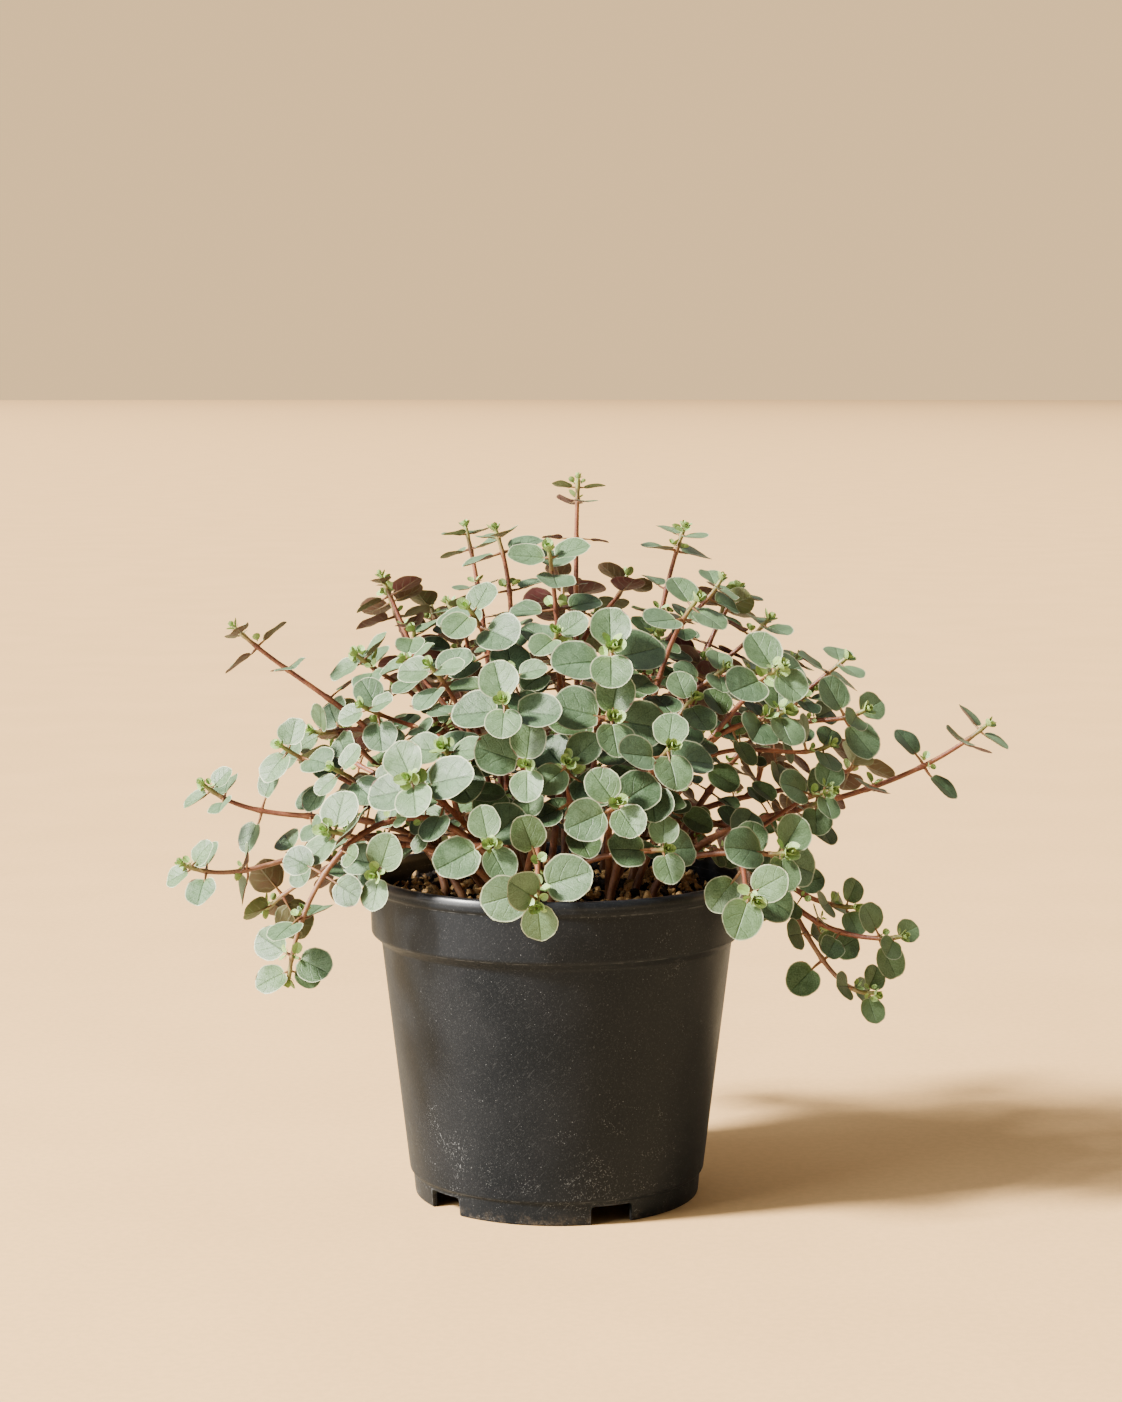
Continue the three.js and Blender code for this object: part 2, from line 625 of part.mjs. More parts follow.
/** True where a point is nearer to a blade than the given air, above or beside it. */
function nearBlade(point, leaf, air, beside) {
  const offset = mix([point, 1], [leaf.middle, -1]);
  const height = offset.dot(leaf.face);
  const inPlane = Math.sqrt(Math.max(offset.lengthSq() - height * height, 0));
  return Math.abs(height) < air && inPlane < leaf.reach + beside;
}

/** True where a blade is clear of the soil, the pot and the ground. */
function bladeClearsPot(points) {
  return points.every((point) => {
    const reach = Math.hypot(point.x, point.y);
    if (reach < INNER_RIM_RADIUS - RIM_AIR) {
      return point.z > soilHeight(point.x, point.y) + SOIL_AIR;
    }
    return point.z > POT_HEIGHT + RIM_AIR || reach > BEAD_RADIUS + RIM_AIR;
  });
}

/** True where a leaf is clear of every leaf and stem that already stands. */
function leafIsClear(leaf, leaves, standing) {
  const points = trialPoints(leaf);
  if (!bladeClearsPot(points)) {
    return false;
  }
  for (const other of leaves) {
    const apart = leaf.middle.distanceTo(other.middle);
    if (apart < leaf.reach + other.reach + NEAR_BLADES) {
      const meets = (blade) => (point) => nearBlade(point, blade, BLADE_AIR, EDGE_AIR);
      const otherMeets = [...other.points, ...other.stalkPoints].some(meets(leaf));
      if (otherMeets || [...points, ...leaf.stalkPoints].some(meets(other))) {
        return false;
      }
    }
  }
  for (const path of standing) {
    const isOwn = path.stem === leaf.stem;
    for (let i = 0; i < path.points.length; i += 1) {
      const point = path.points[i];
      if (leaf.middle.distanceTo(point) < leaf.reach + NEAR_STEM) {
        const air = radiusAt(path, i / CURVE_POINTS) + STALK_AIR;
        const stalkMeets = leaf.stalkPoints.some((other) => other.distanceTo(point) < air + GAP);
        if (nearBlade(point, leaf, air, isOwn ? 0 : air) || (!isOwn && stalkMeets)) {
          return false;
        }
      }
    }
    if (nearBlade(path.apex, leaf, STALK_AIR, isOwn ? 0 : STALK_AIR)) {
      return false;
    }
  }
  return true;
}

/** All leaves, the pairs nearest the tips first, each turned aside until it is clear. */
function growLeaves(stems, standing) {
  const leaves = [];
  PAIRS.forEach((pair, rank) => {
    standing.forEach((path, index) => {
      const next = draws(1000 + 100 * rank + index);
      const shift = 1 + spread(next, PAIR_JITTER);
      const distance = path.length - pair.from * shift * path.spec.stretch;
      const turn = path.spec.turn + 90 * rank + spread(next, TURN_JITTER);
      const drawn = [0, 1].map(() => ({
        turn: spread(next, TURN_JITTER),
        lift: spread(next, TURN_JITTER),
        roll: spread(next, 1.5 * TURN_JITTER),
        grow: 1 + spread(next, PAIR_JITTER),
      }));
      if (rank >= path.spec.pairs || distance < LAST_PAIR_CLEAR) {
        return;
      }
      const { point, way } = along(path, distance);
      const inner = rank > 1 && !path.spec.via ? INNER_SIZE : 1;
      drawn.forEach((draw, half) => {
        if (path.spec.bare.some(([pairRank, side]) => pairRank === rank && side === half)) {
          return;
        }
        const station = {
          point,
          chord: alongPieces(path, distance),
          way,
          turn: turn + 180 * half + draw.turn,
          lift: pair.lift + draw.lift,
          roll: draw.roll,
          stalk: pair.stalk,
          size: path.spec.leaf * pair.scale * inner * draw.grow,
          radius: radiusAt(path, distance / path.length),
        };
        const tries = SHRINKS.flatMap((shrink) => TURNS_ASIDE.map((aside) => [aside, shrink]));
        for (const [aside, shrink] of tries) {
          const leaf = leafAt(path, station, aside, shrink);
          if (leafIsClear(leaf, leaves, standing)) {
            leaf.points = trialPoints(leaf);
            leaves.push(leaf);
            break;
          }
        }
      });
    });
  });
  return leaves;
}

/**
 * A leaf as a solid: a round blade with a bevelled underside, folded a little along its midrib,
 * and a three-sided stalk. Corners run from the base's right round the blade's tip to its left.
 */
function leafSolid(leaf) {
  const right = HALF_OUTLINE.map(([run, out]) => [run, -out, BLADE_FOLD]);
  const left = HALF_OUTLINE.map(([run, out]) => [run, out, BLADE_FOLD]).reverse();
  const upper = [[0, -BASE_WIDTH / 2, 0], ...right, [1, 0, 0], ...left, [0, BASE_WIDTH / 2, 0]];
  const [run, out] = UNDER_CORNER;
  const lower = [[0, 0, 0], [run, -out, UNDER_FOLD], [UNDER_TIP, 0, 0], [run, out, UNDER_FOLD]];
  const corner = ([along, across, rise], offset) => mix(
    [leaf.base, 1],
    [leaf.rib, along * leaf.size],
    [leaf.side, across * leaf.size],
    [leaf.face, rise + offset],
  );
  const points = [
    ...upper.map((place) => corner(place, BLADE_THICKNESS / 2)),
    ...lower.map((place) => corner(place, -BLADE_THICKNESS / 2)),
    leaf.root,
  ];
  const [r0, r1, r2, tip, l2, l1, l0, under, underRight, underTip, underLeft, root] = points.keys();
  return solidOf(geometryOf(points, [
    // above
    [r0, r1, r2], [r0, r2, tip], [r0, tip, l0], [l0, tip, l2], [l0, l2, l1],
    // the bevel, from right to left
    [r0, under, underRight], [r0, underRight, r1], [r1, underRight, r2], [r2, underRight, underTip],
    [r2, underTip, tip], [tip, underTip, l2], [l2, underTip, underLeft], [l2, underLeft, l1],
    [l1, underLeft, l0], [l0, underLeft, under],
    // below
    [under, underLeft, underTip], [under, underTip, underRight],
    // the stalk
    [r0, l0, root], [l0, under, root], [under, r0, root],
  ]));
}

/** A shoot as a tapering solid with flat sides, rooted straight down if it is a main shoot. */
function shootSolid(path) {
  const pieces = pieceCount(path);
  const stations = [];
  if (path.isMain) {
    stations.push({ point: mix([path.points[0], 1], [UP, -ROOT_DEPTH]), way: UP, radius: path.radius });
  }
  for (let i = 0; i <= pieces; i += 1) {
    const share = i / pieces;
    const { point, way } = along(path, share * path.length);
    const upright = path.isMain && i === 0;
    stations.push({ point, way: upright ? UP : way, radius: radiusAt(path, share) });
  }
  const points = [];
  let across = at(1, 0, 0);
  for (const { point, way, radius } of stations) {
    across = mix([across, 1], [way, -across.dot(way)]).normalize();
    const other = new THREE.Vector3().crossVectors(way, across);
    for (let side = 0; side < STEM_SIDES; side += 1) {
      const angle = (side / STEM_SIDES) * FULL_TURN;
      const out = [[across, radius * Math.cos(angle)], [other, radius * Math.sin(angle)]];
      points.push(mix([point, 1], ...out));
    }
  }
  const faces = [];
  for (let ring = 0; ring + 1 < stations.length; ring += 1) {
    for (let side = 0; side < STEM_SIDES; side += 1) {
      const a = ring * STEM_SIDES + side;
      const b = ring * STEM_SIDES + ((side + 1) % STEM_SIDES);
      faces.push([a, b, b + STEM_SIDES], [a, b + STEM_SIDES, a + STEM_SIDES]);
    }
  }
  for (let side = 2; side < STEM_SIDES; side += 1) {
    faces.push([0, side, side - 1]);
  }
  const top = stations[stations.length - 1];
  const apex = points.length;
  points.push(mix([top.point, 1], [top.way, TIP_POINT]));
  for (let side = 0; side < STEM_SIDES; side += 1) {
    const ring = apex - STEM_SIDES;
    faces.push([ring + side, ring + ((side + 1) % STEM_SIDES), apex]);
  }
  return solidOf(geometryOf(points, faces));
}

/** A leafy stem: its shoots and leaves joined into one solid. */
function leafyStem(shoots, leaves) {
  const solids = [...shoots.map(shootSolid), ...leaves.map(leafSolid)];
  return geometryFrom(wasm.Manifold.union(solids));
}

// ---------------------------------------------------------------- the soil

/** The soil: fills the pot, with a crowned top, lumps of grit in it and a plain hole for each stem. */
function soil(stems) {
  const bottomZ = INNER_FLOOR_Z + GAP;
  const rimShare = (SOIL_EDGE_Z - INNER_FLOOR_Z) / (WALL_TOP_Z - INNER_FLOOR_Z);
  const slope = INNER_WALL_TOP_RADIUS - INNER_FLOOR_RADIUS;
  const edgeRadius = Math.min(INNER_FLOOR_RADIUS + slope * rimShare, INNER_WALL_TOP_RADIUS) - 2 * GAP;
  const flats = [
    { radius: HUB_RADIUS + WALL - 3 * GAP, z: WALL + GAP },
    { radius: HUB_RADIUS + HUB_SLOPE + WALL - 3 * GAP, z: bottomZ },
    { radius: INNER_FLOOR_RADIUS - 2 * GAP, z: bottomZ },
    { radius: edgeRadius, z: null },
  ];
  const points = [at(0, 0, WALL + GAP)];
  const ring = (radius, z) => {
    for (let side = 0; side < SOIL_SIDES; side += 1) {
      const place = level((side * 360) / SOIL_SIDES, radius);
      place.z = z ?? soilHeight(place.x, place.y);
      points.push(place);
    }
  };
  flats.forEach(({ radius, z }) => ring(radius, z));
  [...SOIL_RINGS].reverse().forEach((radius) => ring(radius, null));
  const apex = points.length;
  points.push(at(0, 0, soilHeight(0, 0)));
  const faces = [];
  const rings = (apex - 1) / SOIL_SIDES;
  for (let side = 0; side < SOIL_SIDES; side += 1) {
    const other = (side + 1) % SOIL_SIDES;
    faces.push([0, 1 + other, 1 + side]);
    for (let row = 0; row + 1 < rings; row += 1) {
      const a = 1 + row * SOIL_SIDES;
      const b = a + SOIL_SIDES;
      faces.push([a + side, a + other, b + other], [a + side, b + other, b + side]);
    }
    const last = apex - SOIL_SIDES;
    faces.push([last + side, last + other, apex]);
  }
  let body = solidOf(geometryOf(points, faces));
  body = body.add(wasm.Manifold.union(lumps(stems)));
  const holes = stems.map(({ foot }) => {
    const radius = MAIN_RADIUS + GAP / Math.cos(Math.PI / STEM_SIDES);
    const hole = new THREE.CylinderGeometry(radius, radius, HOLE_LENGTH, STEM_SIDES);
    hole.rotateX(Math.PI / 2);
    hole.rotateZ(Math.PI / 2);
    hole.translate(foot.x, foot.y, foot.z - ROOT_DEPTH - GAP + HOLE_LENGTH / 2);
    return solidOf(hole);
  });
  return geometryFrom(body.subtract(wasm.Manifold.union(holes)));
}

/** Lumps of grit and bark, half sunk in the soil, clear of the stems and of each other. */
function lumps(stems) {
  const next = draws(77);
  const placed = [];
  while (placed.length < LUMP_COUNT) {
    const size = LUMP_SMALL + (LUMP_LARGE - LUMP_SMALL) * next();
    const place = level(360 * next(), LUMP_REACH * Math.sqrt(next()));
    const turn = FULL_TURN * next();
    const farFrom = (other, air) => other.distanceTo(place) > size + air;
    const clearOfStems = stems.every(({ root }) => farFrom(root, MAIN_RADIUS + 1));
    const clearOfLumps = placed.every((other) => farFrom(other.place, other.size));
    if (clearOfStems && clearOfLumps) {
      placed.push({ place, size, turn });
    }
  }
  return placed.map(({ place, size, turn }) => {
    const lump = new THREE.OctahedronGeometry(size);
    lump.scale(...LUMP_SHAPE);
    lump.rotateY(LUMP_TILT);
    lump.rotateZ(turn);
    lump.translate(place.x, place.y, soilHeight(place.x, place.y) + LUMP_RISE);
    return solidOf(lump);
  });
}

// ---------------------------------------------------------------- the assembly

const materials = {
  pot: new THREE.MeshStandardMaterial({ color: 0x26282b, roughness: 0.5, metalness: 0 }),
  soil: new THREE.MeshStandardMaterial({ color: 0x2e231c, roughness: 0.95, metalness: 0 }),
  leaf: new THREE.MeshStandardMaterial({ color: 0x8ba590, roughness: 0.6, metalness: 0 }),
};

/** Adds a named mesh to the group. */
function addPiece(group, name, geometry, material) {
  const mesh = new THREE.Mesh(geometry, material);
  mesh.name = name;
  group.add(mesh);
}

const group = new THREE.Group();
const { stems, standing } = growStems();
const leaves = growLeaves(stems, standing);
addPiece(group, 'pot', pot(), materials.pot);
addPiece(group, 'soil', soil(stems), materials.soil);
stems.forEach((stem, index) => {
  const name = `stem_${String(index + 1).padStart(2, '0')}`;
  const own = leaves.filter((leaf) => leaf.stem === index);
  addPiece(group, name, leafyStem(stem.shoots, own), materials.leaf);
});

export default group;
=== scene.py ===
"""Potted pilea: a small-leaved trailing pilea in a plain plastic nursery pot.

Laid out as a Blender add-on and run as a script. It builds the pot, the potting mix with its
crumbs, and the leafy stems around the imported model, then the floor, the light and the camera.
The growth rule and the shapes are in millimetres, in the frame of the model: +Z up, -Y towards the
front, the origin in the middle of the pot's underside. Meshes are written in metres.
"""

import math
from collections import namedtuple
from dataclasses import dataclass

import bmesh
import bpy
import numpy as np
from bpy.props import FloatProperty, FloatVectorProperty, IntProperty, PointerProperty
from bpy.types import NodeSocket, Operator, Panel, PropertyGroup
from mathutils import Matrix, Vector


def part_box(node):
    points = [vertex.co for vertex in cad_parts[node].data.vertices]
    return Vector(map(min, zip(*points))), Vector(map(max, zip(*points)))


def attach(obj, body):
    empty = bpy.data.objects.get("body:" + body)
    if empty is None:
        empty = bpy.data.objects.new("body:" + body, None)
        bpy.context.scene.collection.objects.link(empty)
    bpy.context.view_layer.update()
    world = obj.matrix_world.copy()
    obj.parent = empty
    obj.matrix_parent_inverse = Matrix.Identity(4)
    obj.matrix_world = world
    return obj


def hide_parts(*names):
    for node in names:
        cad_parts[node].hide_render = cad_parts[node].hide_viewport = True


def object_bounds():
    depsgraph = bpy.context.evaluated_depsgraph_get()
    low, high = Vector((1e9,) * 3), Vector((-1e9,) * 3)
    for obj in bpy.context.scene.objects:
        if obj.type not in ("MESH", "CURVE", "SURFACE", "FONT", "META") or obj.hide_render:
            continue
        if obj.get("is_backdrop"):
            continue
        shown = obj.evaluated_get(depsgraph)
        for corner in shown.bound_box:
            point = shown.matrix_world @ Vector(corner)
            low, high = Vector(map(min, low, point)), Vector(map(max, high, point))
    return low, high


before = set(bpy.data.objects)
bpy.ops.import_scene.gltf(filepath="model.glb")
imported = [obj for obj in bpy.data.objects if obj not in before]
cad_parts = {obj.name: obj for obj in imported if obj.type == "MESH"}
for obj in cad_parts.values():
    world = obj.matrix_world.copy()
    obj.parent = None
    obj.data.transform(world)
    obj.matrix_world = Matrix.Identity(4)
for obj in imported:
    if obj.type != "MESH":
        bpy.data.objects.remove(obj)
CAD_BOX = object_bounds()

bl_info = {
    "name": "Potted pilea",
    "version": (1, 0, 0),
    "blender": (4, 5, 0),
    "location": "3D View > Sidebar > Pilea",
    "description": "Builds a potted pilea: its pot, its soil, its leafy stems and a plain stage",
    "category": "Add Mesh",
}

MM = 0.001
BODY = "root"

# ---------------------------------------------------------------- pot and soil, in mm

POT_LOW, POT_HIGH = (np.array(corner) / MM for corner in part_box("pot"))
POT_HEIGHT = POT_HIGH[2]
BEAD_RADIUS = POT_HIGH[0]
WALL = 1.3
FLOOR_Z = 6.0  # underside of the raised floor
HUB_RADIUS = 12.0  # middle of the floor, which comes down to the ground
HUB_SLOPE = 1.4
FOOT_RADIUS = 40.0
FOOT_TOP_RADIUS = 40.6
FOOT_TOP_Z = 6.2
WALL_BOTTOM_RADIUS = 41.5
WALL_BOTTOM_Z = 6.9
WALL_TOP_RADIUS = 49.2
WALL_TOP_Z = 72.0
COLLAR_BOTTOM_RADIUS = 52.0
COLLAR_BOTTOM_Z = 74.5
COLLAR_TOP_RADIUS = 52.3
BEAD_BOTTOM_Z = 87.0
BEAD_TOP_Z = 89.6
BEAD_SLOPE = 0.6
RIM_THICKER = 0.4
INNER_FLOOR_Z = FLOOR_Z + WALL
INNER_FLOOR_RADIUS = WALL_BOTTOM_RADIUS - WALL
INNER_WALL_TOP_RADIUS = WALL_TOP_RADIUS - WALL
INNER_COLLAR_RADIUS = COLLAR_BOTTOM_RADIUS - WALL
INNER_RIM_RADIUS = COLLAR_TOP_RADIUS - WALL - RIM_THICKER
NOTCH_COUNT = 5
NOTCH_FIRST_ANGLE = -68.0  # degrees from +X
NOTCH_WIDTH = 12.0
NOTCH_HEIGHT = 5.2
NOTCH_ROUNDING = 1.1
CUT_PAST = 3.0  # how far the notches' cutter goes below the foot
DRAIN_PAST = 2.0  # and that of the drain holes, past the floor
DRAIN_RADIUS = 4.0
DRAIN_SEGMENTS = 32
DRAIN_CIRCLE = 31.0

SOIL_EDGE_Z = 84.5
SOIL_CROWN = 2.2
SOIL_RIPPLE = 0.55
ROOT_DEPTH = 10.0

# ---------------------------------------------------------------- sizes of the plant, in mm

MAIN_RADIUS = 1.4
SIDE_RADIUS = 1.1
TWIG_RADIUS = 0.85
TIP_RADIUS = 0.7
TIP_POINT = 1.6
ROOT_SPACING = 6.2
ROOT_NEAREST = 3.0
ROOT_REACH = 33.0
ROOT_MIDDLE = 5.0  # how far out a stem roots whose tip is over the middle
ROOT_SHARE = 0.3  # and how much further for each mm that its tip is out
ROOT_TURN_JITTER = 12.0
FOOT_RISE = 1.5
OUTWARD_START = 0.35
FORK_WAY = 0.6
START_BEND = 0.4
TIP_BEND = 0.34

# The pairs of a shoot, counted from its tip: distance from the tip, leafstalk, how far the leaves
# point along the shoot in degrees, and blade length as a share of the shoot's leaf size.
PAIRS = [
    (2.0, 0.9, 20.0, 0.84),
    (6.5, 2.0, 6.0, 1.02),
    (17.0, 3.2, 4.0, 1.0),
    (29.0, 3.6, 2.0, 0.98),
    (42.0, 3.6, 0.0, 0.94),
]
INNER_SIZE = 0.82  # of the pairs below the outer two, unless on a long bent shoot
PAIR_JITTER = 0.09
TURN_JITTER = 9.0
ROLL_JITTER = 1.5 * TURN_JITTER
LAST_PAIR_CLEAR = 9.0
LIGHT_UP = 0.62
LIGHT_OUT = 0.15
LIGHT_PULL = 0.72
RIB_BEND = 0.6

GAP = 0.3
BLADE_AIR = 1.5
EDGE_AIR = 0.75
STALK_AIR = 0.9
STEM_AIR = 0.8
SOIL_AIR = 3.0
RIM_AIR = 1.2

TURNS_ASIDE = [
    (0, 0, 0), (0, 14, 0), (0, -14, 0), (13, 0, 0), (-13, 0, 0), (0, 0, 20), (0, 0, -20),
    (18, 12, 12), (-18, 12, -12), (0, 28, 0), (0, -28, 0), (24, -14, 18), (-24, -14, -18),
    (30, 0, 0), (-30, 0, 0), (0, 42, 0), (0, -42, 0), (36, 20, 24), (-36, 20, -24),
]
SHRINKS = (1.0, 0.84)
FRONT_PULL = 0.5

UP = np.array([0.0, 0.0, 1.0])
LEVEL = np.array([1.0, 1.0, 0.0])  # times this, a vector is laid level
FRONT = np.array([0.0, -1.0, 0.0])
RIGHT = np.array([1.0, 0.0, 0.0])


def shoot(x, y, z, rise, turn, leaf, pairs, **more):
    """What a shoot is to be: its tip's place, how steeply the tip rises in degrees, the turn of its
    first pair, its leaf size and its number of pairs. via holds two points that bend a long shoot,
    fork says how far up its main shoot a side shoot leaves, stretch spaces the pairs wider, front
    is how much it turns to the front, and bare lists the pair and half of leaves that fell."""
    wish = {"tip": np.array([x, y, z], float), "rise": rise, "turn": turn, "leaf": leaf}
    usual = {"pairs": pairs, "front": FRONT_PULL, "stretch": 1.0, "via": None, "bare": ()}
    return {**wish, **usual, **more}


FRONT_STEMS = [
    # the spire and the top of the dome
    [
        shoot(6, 14, 200, 84, 10, 7, 4, front=0.0),
        shoot(20, 26, 172, 66, 60, 9, 3, fork=0.55, front=-0.3),
    ],
    [shoot(-26, 24, 186, 72, 0, 8, 3, front=0.12)],
    [shoot(-17, 6, 186, 70, 20, 9.5, 3, front=0.2)],
    [
        shoot(-2, -8, 181, 60, 20, 11.5, 4, front=0.15),
        shoot(0, -24, 160, 44, 50, 10, 2, fork=0.5, front=0.3),
    ],
    [
        shoot(36, 18, 186, 70, 15, 9.5, 3, front=0.2),
        shoot(28, 0, 158, 50, 70, 10, 2, fork=0.45, front=0.25),
    ],
    [
        shoot(52, 30, 168, 58, 30, 10, 3, front=0.1),
        shoot(60, 18, 160, 50, 0, 10, 3, fork=0.55, front=0.25),
    ],
    [
        shoot(38, -16, 168, 48, 90, 11.5, 3, front=0.35),
        shoot(46, -12, 149, 40, 45, 10, 2, fork=0.5, front=0.35),
    ],
    [
        shoot(-24, -17, 166, 42, 80, 11.5, 3, front=0.4),
        shoot(-12, -30, 150, 34, 20, 10, 2, fork=0.5, front=0.35),
    ],
    [
        shoot(-50, 22, 172, 62, 25, 8, 4, front=-0.05),
        shoot(-56, 6, 151, 42, 70, 10, 3, fork=0.5, front=0.2),
    ],
    [shoot(-37, 38, 164, 60, 50, 9, 3, front=-0.45)],
    # the front of the dome
    [shoot(15, -38, 157, 32, 90, 13, 3), shoot(15, -42, 139, 20, 80, 12.5, 2, fork=0.62)],
    [shoot(-14, -48, 144, 26, 100, 12, 3), shoot(-8, -47, 127, 14, 75, 12, 2, fork=0.55)],
    [
        shoot(-34, -26, 151, 40, 15, 10, 3, front=0.3),
        shoot(-42, -6, 151, 46, 65, 9, 2, fork=0.5, front=0.25),
    ],
    [shoot(-39, -46, 123, 24, 110, 12.5, 3), shoot(-30, -36, 130, 32, 10, 12, 2, fork=0.5)],
    [shoot(3, -44, 127, 20, 45, 12, 3)],
    [shoot(16, -55, 118, 20, 115, 12, 3, bare=((2, 0),))],
    [shoot(30, -50, 132, 26, 80, 12, 3), shoot(37, -24, 142, 36, 80, 11, 2, fork=0.5)],
    [shoot(29, -50, 105, 14, 80, 9.8, 2)],
    [shoot(-17, -54, 107, 14, 110, 11.5, 2)],
    [shoot(-5, -65, 92, 0, 110, 12, 2, via=[(-4, -34, 116), (-5, -52, 106)])],
    # the right side
    [shoot(60, -28, 151, 34, 100, 12, 4), shoot(62, -20, 138, 24, 65, 11.5, 2, fork=0.6)],
    [shoot(81, 6, 150, 40, 35, 9.5, 4, front=0.2), shoot(85, -8, 137, 30, 10, 10, 3, fork=0.6)],
    [
        shoot(
            120, 0, 132, 40, 65, 9.5, 5, via=[(38, -2, 112), (86, 0, 103)], stretch=1.2, front=0.2
        ),
        shoot(73, -12, 112, 20, 60, 11, 3, fork=0.42),
    ],
    [
        shoot(61, -44, 103, 14, 60, 12.5, 3, bare=((2, 0),)),
        shoot(52, -52, 92, -10, 70, 12, 2, fork=0.6, bare=((1, 0),)),
    ],
    [
        shoot(87, -24, 61, -6, 60, 8.5, 5, via=[(50, -16, 138), (60, -20, 56)]),
        shoot(94, -26, 77, 14, 20, 8.5, 3, fork=0.6),
        shoot(82, -14, 83, 6, 75, 9, 2, fork=0.5),
    ],
    # the left side
    [
        shoot(
            -90, 4, 159, 44, 15, 8.5, 5, via=[(-32, 2, 128), (-68, 3, 138)], stretch=1.2, front=0.0
        ),
        shoot(-68, 2, 130, 20, 50, 10, 3, fork=0.5),
    ],
    [shoot(-76, -8, 127, 34, 100, 10.5, 3)],
    [shoot(-98, -6, 116, 40, 80, 8.5, 5, via=[(-38, -2, 118), (-78, -5, 98)], stretch=1.1)],
    [shoot(-103, -14, 95, 26, 60, 8.5, 5, via=[(-42, -6, 124), (-80, -10, 82)], stretch=1.1)],
    [
        shoot(-62, -30, 107, 18, 110, 12, 3),
        shoot(-48, -44, 97, 0, 75, 11, 2, fork=0.6, bare=((1, 1),)),
    ],
    [shoot(-72, -38, 68, -64, 20, 9.5, 4, via=[(-36, -20, 122), (-68, -37, 100)])],
]

# Stems of the far side: the tip's distance from the middle, its height, rise, leaf size and pairs,
# for the main shoot and its side shoot.
FAR_KINDS = [
    ((98, 118, 32, 10, 3), (74, 132, 36, 11, 2)),
    ((50, 168, 62, 10, 3), (40, 150, 55, 11, 2)),
    ((84, 72, -40, 10, 3), (70, 96, 0, 11, 2)),
    ((74, 146, 44, 11, 3), (62, 128, 34, 11, 2)),
]
FAR_COUNT = 11
FAR_FIRST_ANGLE = 14.0
FAR_LAST_ANGLE = 166.0
FAR_SIDE_ANGLE = 15.0
FAR_JITTER = 5.0
FAR_SEED = 500
FAR_PULL = -0.45  # they turn to the back

# Thin twigs that fill the flanks between the shoots of the model: the number of the stem that each
# leaves, and the twig.
TWIGS = [
    (13, shoot(-53, -16, 139, 34, 30, 9, 3, fork=0.45, front=0.35)),
    (27, shoot(-61, -18, 122, 24, 60, 9.5, 2, fork=0.5, front=0.4)),
    (26, shoot(-50, 2, 133, 40, 20, 9, 2, fork=0.3, front=0.3)),
    (21, shoot(75, -14, 128, 28, 40, 9.5, 3, fork=0.5, front=0.4)),
    (22, shoot(72, 8, 141, 44, 60, 9, 3, fork=0.45, front=0.25)),
    (6, shoot(69, 22, 149, 46, 20, 8.5, 3, fork=0.6, front=0.15)),
    (24, shoot(75, -18, 116, 16, 70, 9.5, 2, fork=0.5, front=0.45)),
    (10, shoot(-31, 16, 165, 60, 40, 8, 3, fork=0.6, front=0.2)),
    (5, shoot(46, 8, 172, 62, 40, 8.5, 3, fork=0.6, front=0.25)),
    (41, shoot(-40, 5, 158, 52, 70, 9, 2, fork=0.6, front=0.3)),
]


# ---------------------------------------------------------------- draws and small helpers

DRAW_FACTOR = 16807
DRAW_SIZE = 2147483647


class Draws:
    """A seeded stream of numbers from 0 to 1, the one that the model was grown with."""

    def __init__(self, seed):
        self.state = (seed * 7919 + 101) % DRAW_SIZE

    def share(self):
        """The next number of the stream."""
        self.state = self.state * DRAW_FACTOR % DRAW_SIZE
        return self.state / DRAW_SIZE

    def spread(self, amount):
        """The next number, from -amount to +amount."""
        return (2 * self.share() - 1) * amount


def unit(vectors):
    """A vector, or each row of an array of them, at length 1."""
    return vectors / np.sqrt((vectors * vectors).sum(-1, keepdims=True))


def length(vectors):
    """The length of a vector, or of each row of an array of them."""
    return np.sqrt((vectors * vectors).sum(-1))


def cross(a, b):
    """The cross product of two vectors, or of two arrays of them row by row."""
    ax, ay, az = np.moveaxis(a, -1, 0)
    bx, by, bz = np.moveaxis(b, -1, 0)
    return np.stack([ay * bz - az * by, az * bx - ax * bz, ax * by - ay * bx], -1)


def level(angle, reach=1.0):
    """A level vector at an angle from +X in degrees."""
    turn = math.radians(angle)
    return np.array([math.cos(turn) * reach, math.sin(turn) * reach, 0.0])


def soil_height(x, y):
    """Height of the soil's top: a low crown, plus a product of two waves and one slanting wave."""
    share = (x * x + y * y) / (WALL_TOP_RADIUS * WALL_TOP_RADIUS)
    ripple = np.sin(0.31 * x + 0.8) * np.cos(0.27 * y) + 0.6 * np.sin(0.2 * (x - y))
    return SOIL_EDGE_Z + SOIL_CROWN * (1 - share) + SOIL_RIPPLE * ripple


# ---------------------------------------------------------------- how the shoots grow

CURVE_POINTS = 60
CURVE_SHARES = np.arange(CURVE_POINTS + 1) / CURVE_POINTS
AIR_ENOUGH = 20.0
FORK_LENGTH = 8.0
ROOT_STEPS = (0, 5, -5, 10, -10, 15)
ROOT_TURNS = (0, 12, -12, 24, -24, 36, -36, 48, -48)
TIP_SHARE = 0.6
BENDS_ASIDE = [
    (0, 0), (5, 0), (-5, 0), (0, 5), (9, 3), (-9, 3), (14, 0), (-14, 0), (8, 10), (-8, 10),
    (0, 14), (0, -5), (18, 8), (-18, 8),
]


